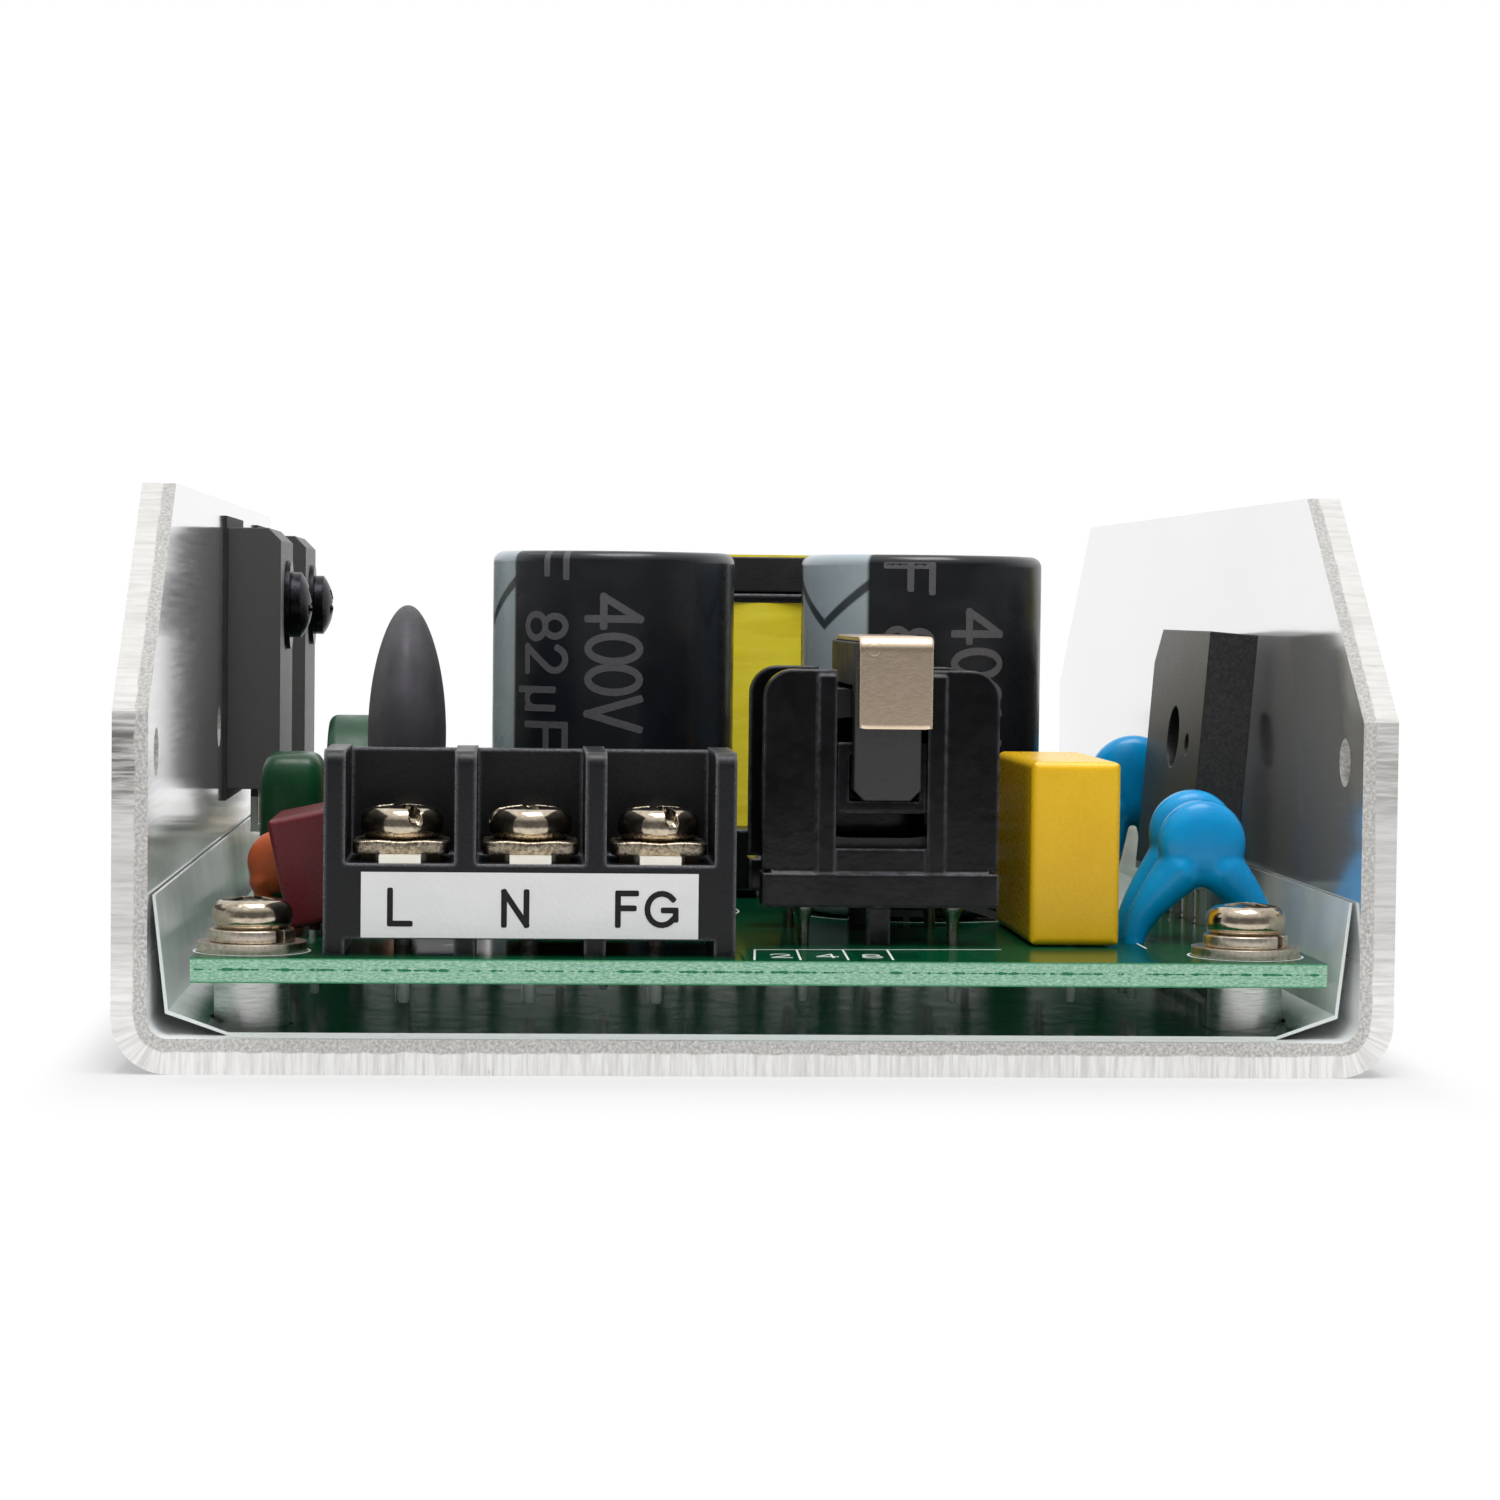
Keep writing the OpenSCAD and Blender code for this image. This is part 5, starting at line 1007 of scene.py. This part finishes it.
# %% Dipped box
def dipped_box(centre, half, powers):
    """Squared-off ellipsoid of half sizes."""
    rise = angles(-90, 90, 41)[:, None]
    around = all_round(72)[None, :]
    x = half[0] * soft(np.cos(rise), powers[0]) * soft(np.cos(around), powers[1])
    y = half[1] * soft(np.cos(rise), powers[0]) * soft(np.sin(around), powers[1])
    z = half[2] * soft(np.sin(rise), powers[0]) + 0 * around
    return grid(np.stack([x, y, z], axis=-1) + np.asarray(centre))


def stubs(places, top, radius=0.4):
    """Straight tinned leads from the underside of the board to a height."""
    return [wire([(x, y, z) for z in (LEAD_FOOT, 7.0, top)], radius, 10, (1, 0, 0)) for x, y in places]


green_body = dipped_box((-32.03, -28.375, 13.44), (2.4, 3.8, 5.65), (0.4, 0.45))
green_leads = stubs([(-32.03, -30.875), (-32.03, -25.875)], 9.0)
green_coat = finish("dipped_green_epoxy", dipped, "#0c3a20", "#124a2a", (0.24, 0.36))
make("green_capacitor_body", {green_coat: [green_body], tinned_wire: green_leads},
     ["green_capacitor"])


# %% Dipped discs
def dipped_disc(name, node, centre, width, thick, reach, coat, leg, slot):
    """Turned lens with squared-off rim plus two legs along curves, remeshed into one flowing skin."""
    x, y, z = centre
    rise = angles(-90, 90, 25)
    lens_shape = np.column_stack([width / 2 * soft(np.cos(rise), 0.62),
                                  thick / 2 * soft(np.sin(rise), 0.8)])
    parts = [turned(lens_shape, centre, axis=1, sides=48)]
    for side in (-1, 1):
        corners = [(reach, 6.9), (reach * 0.97, 8.8), (reach * 0.74, 10.2),
                   (width * 0.24, z - width * 0.3)]
        path = curve(*[(x + side * out, y, high) for out, high in corners], steps=24)
        swell = leg * (1 + 1.2 * np.linspace(0, 1, 24) ** 1.5)
        parts.append(wire(path, swell, 14, (0, 1, 0)))
    piece = make(name, {coat: parts}, [node])
    melt = piece.modifiers.new("melt", "REMESH")
    melt.mode = "VOXEL"
    melt.voxel_size = 0.00013
    melt.use_smooth_shade = True
    flow = piece.modifiers.new("flow", "SMOOTH")
    flow.factor = 0.5
    flow.iterations = 20


blue = finish("dipped_blue_epoxy", dipped, "#008ccb", "#009ad9", (0.2, 0.3), 1.6, 0.06)
orange = finish("dipped_orange_epoxy", dipped, "#a84c28", "#bd5d34", (0.25, 0.35))
# solid, middle, width, thickness, reach of the legs, coat, leg radius, slot
DISCS = {
    "blue_disc_front": ("y_capacitor_front", (31.575, -50.375, 14.19), 6.1, 3.0, 4.725, blue, 0.78,
                        "blue_coating"),
    "blue_disc_rear": ("y_capacitor_rear", (31.575, -46.675, 14.69), 6.1, 3.0, 4.725, blue, 0.78,
                       "blue_coating"),
    "blue_disc_far": ("y_capacitor_far", (33.43, -10.875, 16.69), 7.2, 3.0, 2.5, blue, 0.75,
                      "blue_coating"),
    "orange_disc": ("orange_capacitor", (-32.58, -36.375, 11.49), 4.6, 2.2, 1.3, orange, 0.5,
                    "orange_coating"),
}
for name, row in DISCS.items():
    dipped_disc(name, *row)
lead_places = [(row[1][0] + side * row[4], row[1][1]) for row in DISCS.values() for side in (-1, 1)]
make("disc_leads", {tinned_wire: stubs(lead_places, 7.6)})

# %% [markdown]
# ## Thermistor
# The inrush limiter is a thick lens of dark grey ceramic under a matt silicone coat that runs down both
# leads. A turned ellipse keeps the lens shape of the solid without its facets. The coat ran down before
# it set, so the thickness falls with the cube of the height.

# %% Thermistor
ntc = np.array([-23.4, -40.675, 21.49])
lens_angle = angles(-90, 90, 49)
lens_rows = np.column_stack([8.5 * np.cos(lens_angle) ** 0.94, 2.55 * soft(np.sin(lens_angle), 0.94)])
lens_points, lens_faces = turned(lens_rows, ntc, axis=0, sides=96)
sag = 1.1 - 0.24 * ((lens_points[:, 2:] - 13.0) / 17.0) ** 3
lens_points[:, :1] = ntc[0] + (lens_points[:, :1] - ntc[0]) * sag
ntc_parts = [(lens_points, lens_faces)]
ntc_legs = [(ntc[0], ntc[1] + side * 3.75) for side in (-1, 1)]
for x, y in ntc_legs:
    leg_path = curve((x, y, 9.3), (x, y, 11.5), (x, y, 16.0))
    ntc_parts.append(wire(leg_path, np.linspace(0.6, 1.2, 12), 14, (1, 0, 0)))
ntc_coat = finish("dipped_grey_silicone", dipped, "#3c3a3f", "#4a484d", (0.5, 0.62), 0.4, 0.04)
make("thermistor_body", {ntc_coat: ntc_parts, tinned_wire: stubs(ntc_legs, 9.6)},
     ["thermistor"])

# %% [markdown]
# ## Electrolytic capacitors
# An aluminium can is wrapped in a shrunk plastic sleeve that leaves the top bare. A pale stripe with dark
# chevrons marks the negative side, and the ratings are printed up the side. Stripe and bare top come from
# the angle and the radius round the can's own axis. The numbers are pen strokes wrapped round the can.


# %% Shrunk sleeves
def sleeve(add, axis, top, bare, chart, stripe_chart, stripe, pitch, mark_z):
    """Angle and radius round the axis pick sleeve, stripe, chevron or bare can with its vent cross."""
    x, y, z = millimetres(add)
    east = add("SUBTRACT", x, axis[0])
    north = add("SUBTRACT", y, axis[1])
    south = add("MULTIPLY", north, -1.0)
    angle = add("MULTIPLY", add("ARCTAN2", east, south), math.degrees(1))
    off = add("SUBTRACT", angle, (stripe[0] + stripe[1]) / 2)
    off = add("ABSOLUTE", add("WRAP", off, -180.0, 180.0))
    half = (stripe[1] - stripe[0]) / 2
    band = add("MapRange", off, half - 1.0, half + 1.0, 1.0, 0.0)
    climb = add("MULTIPLY_ADD", off, -2.9 / half, z)
    climb = add("WRAP", climb, mark_z - pitch / 2, mark_z + pitch / 2)
    climb = apart(add, climb, mark_z)
    chevron = add("MapRange", climb, 0.3, 0.5, 1.0, 0.0)
    tone = pattern(add, 6.0, Detail=2.0)
    skin = add("Mix", tone, *chart)
    mark = add("Mix", chevron, stripe_chart, "#3c4448")
    colour = add("Mix", band, skin, mark)
    radius = add("VectorMath", add("CombineXYZ", east, north), operation="LENGTH")
    inside = add("LESS_THAN", radius, bare)
    above = add("GREATER_THAN", z, top - 1.0)
    below = add("LESS_THAN", z, 7.45)
    can = add("MAXIMUM", add("MULTIPLY", inside, above), below)
    cross = add("MINIMUM", add("ABSOLUTE", east), add("ABSOLUTE", north))
    cross = add("MapRange", cross, 0.12, 0.3)
    brushed = pattern(add, 0.4, Detail=4.0)
    bare_metal = add("Mix", brushed, "#b9babb", "#e2e2e2")
    colour = add("Mix", can, colour, bare_metal)
    gloss = add("MapRange", pattern(add, 3.0), 0.3, 0.7, 0.2, 0.32)
    ripple = pattern(add, 5.0, (1, 1, 0.6), Detail=1.0)
    height = add("Mix", can, ripple, cross)
    relief = bumps(add, height, 0.35, 0.25)
    return {"Base Color": colour, "Roughness": gloss, "Metallic": can, "Normal": relief, "IOR": 1.53}


BULK_Y = -25.675
PRINT_PITCH = 12.7
# axis, turn in degrees and drop of the print of each bulk capacitor
BULKS = {"left": (-8.5, 0.0, 0.0), "right": (14.6, 23.1, 0.8)}
blacks = (("#101318", "#191d23"), "#a2afb5")
blues = (("#0d1430", "#141d40"), "#b9b08a")
# a sleeve takes axis, top, radius of the bare top, tones, stripe colour, stripe angles, and the pitch and
# height of its chevrons
for side, bulk in BULKS.items():
    stripe = (-108 + bulk[1], -55 + bulk[1])
    axis = (bulk[0], BULK_Y)
    wrap = finish("black_sleeve_" + side, sleeve, axis, 34.09, 8.12, *blacks, stripe, PRINT_PITCH, 28.9)
    dress(wrap, "bulk_capacitor_" + side)
for side, x_axis in (("left", -7.8), ("middle", 3.8), ("right", 15.4)):
    dress(finish("blue_sleeve_" + side, sleeve, (x_axis, 24.325), 27.49, 4.12, *blues, (60, 110), 5.0,
                 15.0), "output_capacitor_" + side)
dress(finish("blue_sleeve_small", sleeve, (-21.23, 13.275), 15.89, 2.49, *blues, (60, 120), 4.0, 11.0),
      "supply_capacitor")


# %% Printed ratings
# radius of the can, radius of its rim and height where the rim begins
CAN_R = 9.0
RIM_R = 0.8
RIM_Z = 33.29


def on_can(x_axis, turn_by, drop):
    """Arc length goes round the can, and the second coordinate climbs its wall and bends over its rim."""
    def place(u, v, lift):
        climb = v - drop
        over = np.clip((climb - RIM_Z) / RIM_R, 0, 1.4)
        r = CAN_R - RIM_R + RIM_R * np.cos(over) + lift
        z = np.minimum(climb, RIM_Z) + RIM_R * np.sin(over)
        angle = np.radians(turn_by) + u / CAN_R
        return np.stack([x_axis + r * np.sin(angle), BULK_Y - r * np.cos(angle), z], axis=-1)
    return place


def down_the_side(place):
    """Turn the writing by a right angle, so that it reads downwards with the letter tops to the right."""
    return lambda u, v, lift: place(v, -u, lift)


prints = []
for bulk in BULKS.values():
    page = down_the_side(on_can(*bulk))
    for start in (0.0, PRINT_PITCH):
        prints += write("82uF", -29.45 + start, -7.15, 3.35, 0.5, page, [0, 2.4, 3.1, 2.55])
        prints += write("400V", -30.75 + start, -2.1, 3.8, 0.55, page, [0, 2.85, 2.24, 2.3])
    prints += write("F", -29.45 - 4.65, -7.15, 3.35, 0.5, page, [0])
make("capacitor_ratings", {finish("grey_sleeve_ink", ink, "#5b5b60", "#4a4a4f", 0.4): prints})

# %% [markdown]
# ## Moulded semiconductors
# Rectifiers, transistors and chips are moulded in black epoxy with a fine matt skin. Their legs are
# tinned and are part of the same solid, so the finish changes from epoxy to tin where the height says
# that the body ends.


# %% Moulded epoxy
def epoxy(add, chart, side_chart, body_low, gloss, column=None):
    """Epoxy above body_low and, where a column is given, within its half width; tinned leg elsewhere."""
    place = millimetres(add)
    fine = pattern(add, 0.18, Detail=4.0)
    leg = add("LESS_THAN", place[2], body_low)
    if column:
        away = add("ABSOLUTE", add("SUBTRACT", place[0], column[0]))
        leg = add("MAXIMUM", leg, add("GREATER_THAN", away, column[1]))
    flank = add("GREATER_THAN", add("ABSOLUTE", face_way(add)[0]), 0.6)
    shade = add("Mix", flank, chart, side_chart)
    shade = add("Mix", add("MapRange", fine, 0.35, 0.65, 0.0, 0.25), shade, "#5a5856")
    colour = add("Mix", leg, shade, "#d9d8d4")
    shine = add("MapRange", fine, 0.3, 0.7, *gloss)
    relief = bumps(add, fine, 0.4, 0.04, 0.2)
    return {"Base Color": colour, "Roughness": shine, "Metallic": leg, "Normal": relief, "IOR": 1.55}


dress(finish("moulded_epoxy_bridge", epoxy, "#101216", "#2d2b29", 10.7, (0.34, 0.48)), "bridge_rectifier")
dress(finish("moulded_epoxy_power", epoxy, "#4e4e50", "#565658", 14.5, (0.4, 0.55)), "switch_transistor",
      "output_rectifier")
dress(finish("moulded_epoxy_chip", epoxy, "#1b1b1d", "#222225", 8.05, (0.45, 0.6), (-21.23, 3.19)),
      "control_chip", "optocoupler")
dress(finish("grey_silicone_pad", dipped, "#2e2f31", "#3a3b3d", (0.6, 0.72), 0.3), "switch_pad",
      "rectifier_pad")

# %% [markdown]
# ## Transformer tape
# The transformer is wrapped in lemon-yellow polyester tape: thin, glossy, with fine stretch lines along
# it and a darker tone where the edge of one layer shows through the next. The film passes light on, so
# its sides glow a little. It is the tape of the choke in another colour.

# %% Tape round winding and core
lemon = ("#f0da2c", "#f8e84c", "#d8bd1a")
dress(finish("yellow_polyester_tape_winding", polyester_tape, (9, 1, 1), *lemon), "transformer_winding")
dress(finish("yellow_polyester_tape_core", polyester_tape, (1, 1, 9), *lemon), "transformer_tape")

# %% [markdown]
# ## Resistors
# A film resistor swells at both ends, where metal caps sit under the lacquer, and carries colour bands.
# The body is a turned profile, and the leads are wires bent down through the board. The bands follow the
# distance along the body.


# %% Resistors
# middle and height of both bodies
RES_X = -23.43
RES_Z = 9.09


def banded_lacquer(add):
    """Pale blue lacquer; the distance along the body picks one of four bands."""
    x = millimetres(add)[0]
    tone = pattern(add, 0.8, Detail=2.0)
    colour = add("Mix", tone, "#7fa6b4", "#9cc0cc")
    for place, chart in ((-3.0, "#7a3b1c"), (-1.4, "#141414"), (0.2, "#c2571c"), (2.9, "#b08d3a")):
        away = apart(add, x, RES_X + place)
        band = add("MapRange", away, 0.36, 0.42, 1.0, 0.0)
        colour = add("Mix", band, colour, chart)
    return {"Base Color": colour, "IOR": 1.5, "Roughness": 0.28}


half_turn = angles(-90, 90, 41)
length = 4.5 * soft(np.sin(half_turn), 0.7)
girth = 1.6 * np.cos(half_turn) ** 0.3 * (0.86 + 0.14 * np.clip((np.abs(length) - 1.6) / 1.0, 0, 1))
bodies = []
res_leads = []
for y in (28.525, 33.125):
    bodies.append(turned(np.column_stack([girth, length]), (RES_X, y, RES_Z), axis=0, sides=32))
    for side in (-1, 1):
        corners = [(4.2, RES_Z), (6.5, RES_Z), (6.35, 9.0), (6.35, LEAD_FOOT)]
        path = curve(*[(RES_X + side * out, y, z) for out, z in corners], steps=20)
        res_leads.append(wire(path, 0.4, 10, (0, 1, 0)))
make("film_resistors", {finish("lacquered_film_resistor", banded_lacquer): bodies,
                        tinned_wire: res_leads}, ["resistors"])

# %% [markdown]
# ## Legend on the board
# Thin white lines printed on the solder mask outline the parts. They are pen strokes laid flat on the
# board.


# %% White legend lines
def on_board(u, v, lift):
    """Flat coordinates are X and Y on the board."""
    return np.stack([u, v, BOARD_TOP + lift], axis=-1)


legend = [
    [(0.28, -57.16), (16.9, -56.17)],
    [(0.3, -57.1), (-0.19, -64.33)],
    [(3.1, -56.95), (2.83, -64.16)],
    [(6.2, -56.8), (5.96, -63.99)],
    [(9.2, -56.6), (8.9, -63.82)],
    [(27.06, -54.68), (27.06, -35.6)],
    [(25.0, -46.0), (25.0, -43.6)],
]
legend = [np.asarray(line, float) for line in legend]
legend += [arc(x, y, 3.78, 3.78, 0, 360, 64) for x, y in board_spots]
legend += [arc(bulk[0], BULK_Y, 9.6, 9.6, 0, 360, 72) for bulk in BULKS.values()]
legend_strokes = [stroke(line, 0.14, on_board, 0.015) for line in legend]
for number, left in (("2", 1.1), ("4", 4.1), ("8", 7.1)):
    legend_strokes += write(number, left, -62.6, 2.4, 0.16, on_board, [0])
make("board_legend", {finish("white_legend_ink", ink, "#eef2ef", "#bfd0c6", 0.5): legend_strokes})

# %% [markdown]
# ## Floor and light
# The part stands on a white sweep in a bright room. The floor fades into plain white away from the part
# and keeps a soft shadow near it. The surroundings are white behind, above and beside the part and dimmer
# behind the camera, so that black plastic stays black while metal finds something bright to mirror.

# %% Floor
floor_data = bpy.data.meshes.new("floor")
span = np.linspace(-3.0, 3.0, 13)
floor_points = np.stack(np.meshgrid(span, span, indexing="ij") + [np.zeros((13, 13))], axis=-1)
floor_shape = grid(floor_points, ring=False)
floor_data.from_pydata(floor_shape[0].tolist(), [], floor_shape[1][:, ::-1].tolist())
floor = bpy.data.objects.new("floor", floor_data)
bpy.context.collection.objects.link(floor)
sweep = bpy.data.materials.new("white_sweep")
add = empty_graph(sweep)
ray = add("LightPath")
rays = ray.node.outputs
seen = add("MAXIMUM", rays["Is Glossy Ray"], rays["Is Transmission Ray"])
seen = add("MAXIMUM", ray, seen)
paper = add("BsdfDiffuse", {"Color": (0.64, 0.64, 0.64, 1.0)})
spot = add("SeparateXYZ", add("TexCoord", out="Object"))
ends = add("MapRange", spot.node.outputs[1], -0.34, -0.12, 0.12, 1.0)
bright = add("Mix", rays["Is Glossy Ray"], 1.0, ends)
glow = add("Emission", {"Color": (1.0, 1.0, 1.0, 1.0), "Strength": bright})
away = add("VectorMath", add("TexCoord", out="Object"), operation="ABSOLUTE")
away = add("VectorMath", away, (0.041, 0.067, 0.0), operation="SUBTRACT")
away = add("VectorMath", away, (0.0, 0.0, 0.0), operation="MAXIMUM")
away = add("VectorMath", away, (4.0, 1.0, 1.0), operation="MULTIPLY")
away = add("VectorMath", away, operation="LENGTH")
fade = add("MapRange", away, 0.0, 0.022, 0.1, 1.0, interpolation_type="SMOOTHSTEP")
share = add("Mix", seen, 0.6, fade)
mixed = add("MixShader", share, paper, glow)
add("OutputMaterial", mixed)
floor_data.materials.append(sweep)

# %% Surroundings and lamps
world = bpy.data.worlds.new("white_room")
bpy.context.scene.world = world
add = empty_graph(world)
toward = add("SeparateXYZ", add("TexCoord", out="Generated"))
ray = add("LightPath")
rays = ray.node.outputs
dim = add("Mix", rays["Is Glossy Ray"], 0.33, 0.15)
behind = add("MapRange", toward.node.outputs[1], -0.35, 0.3, dim, 1.0)
above = add("MapRange", toward.node.outputs[2], 0.3, 0.85)
room = add("MAXIMUM", behind, above)
seen = add("MAXIMUM", ray, rays["Is Transmission Ray"])
strength = add("Mix", seen, room, 1.0)
sky = add("Background", {"Color": (1.0, 1.0, 1.0, 1.0), "Strength": strength})
add("OutputWorld", sky)


def lamp(name, place, aim, size, power, mirrored=True):
    """Square area lamp at a place, turned towards a point; mirrored says whether gloss shows it."""
    data = bpy.data.lights.new(name, "AREA")
    data.size = size
    data.energy = power
    body = bpy.data.objects.new(name, data)
    body.location = place
    body.rotation_euler = (Vector(aim) - Vector(place)).to_track_quat("-Z", "Y").to_euler()
    body.visible_glossy = mirrored
    bpy.context.collection.objects.link(body)
    print("lamp", name, power, "W")


lamp("lamp_above", (0.03, -0.12, 0.62), (0, -0.03, 0.01), 0.32, 2.0)
lamp("lamp_fill", (0.02, -0.45, 0.45), (0, -0.03, 0.015), 0.3, 0.8, mirrored=False)

# %% [markdown]
# ## Close
# The colours were written as they should look, so the picture is shown with the plain Standard view. The
# box of the dressed part is compared with the box of the solids, which it must not leave.

# %% Sizes and finish
bpy.context.scene.view_settings.view_transform = "Standard"
bpy.context.view_layer.update()
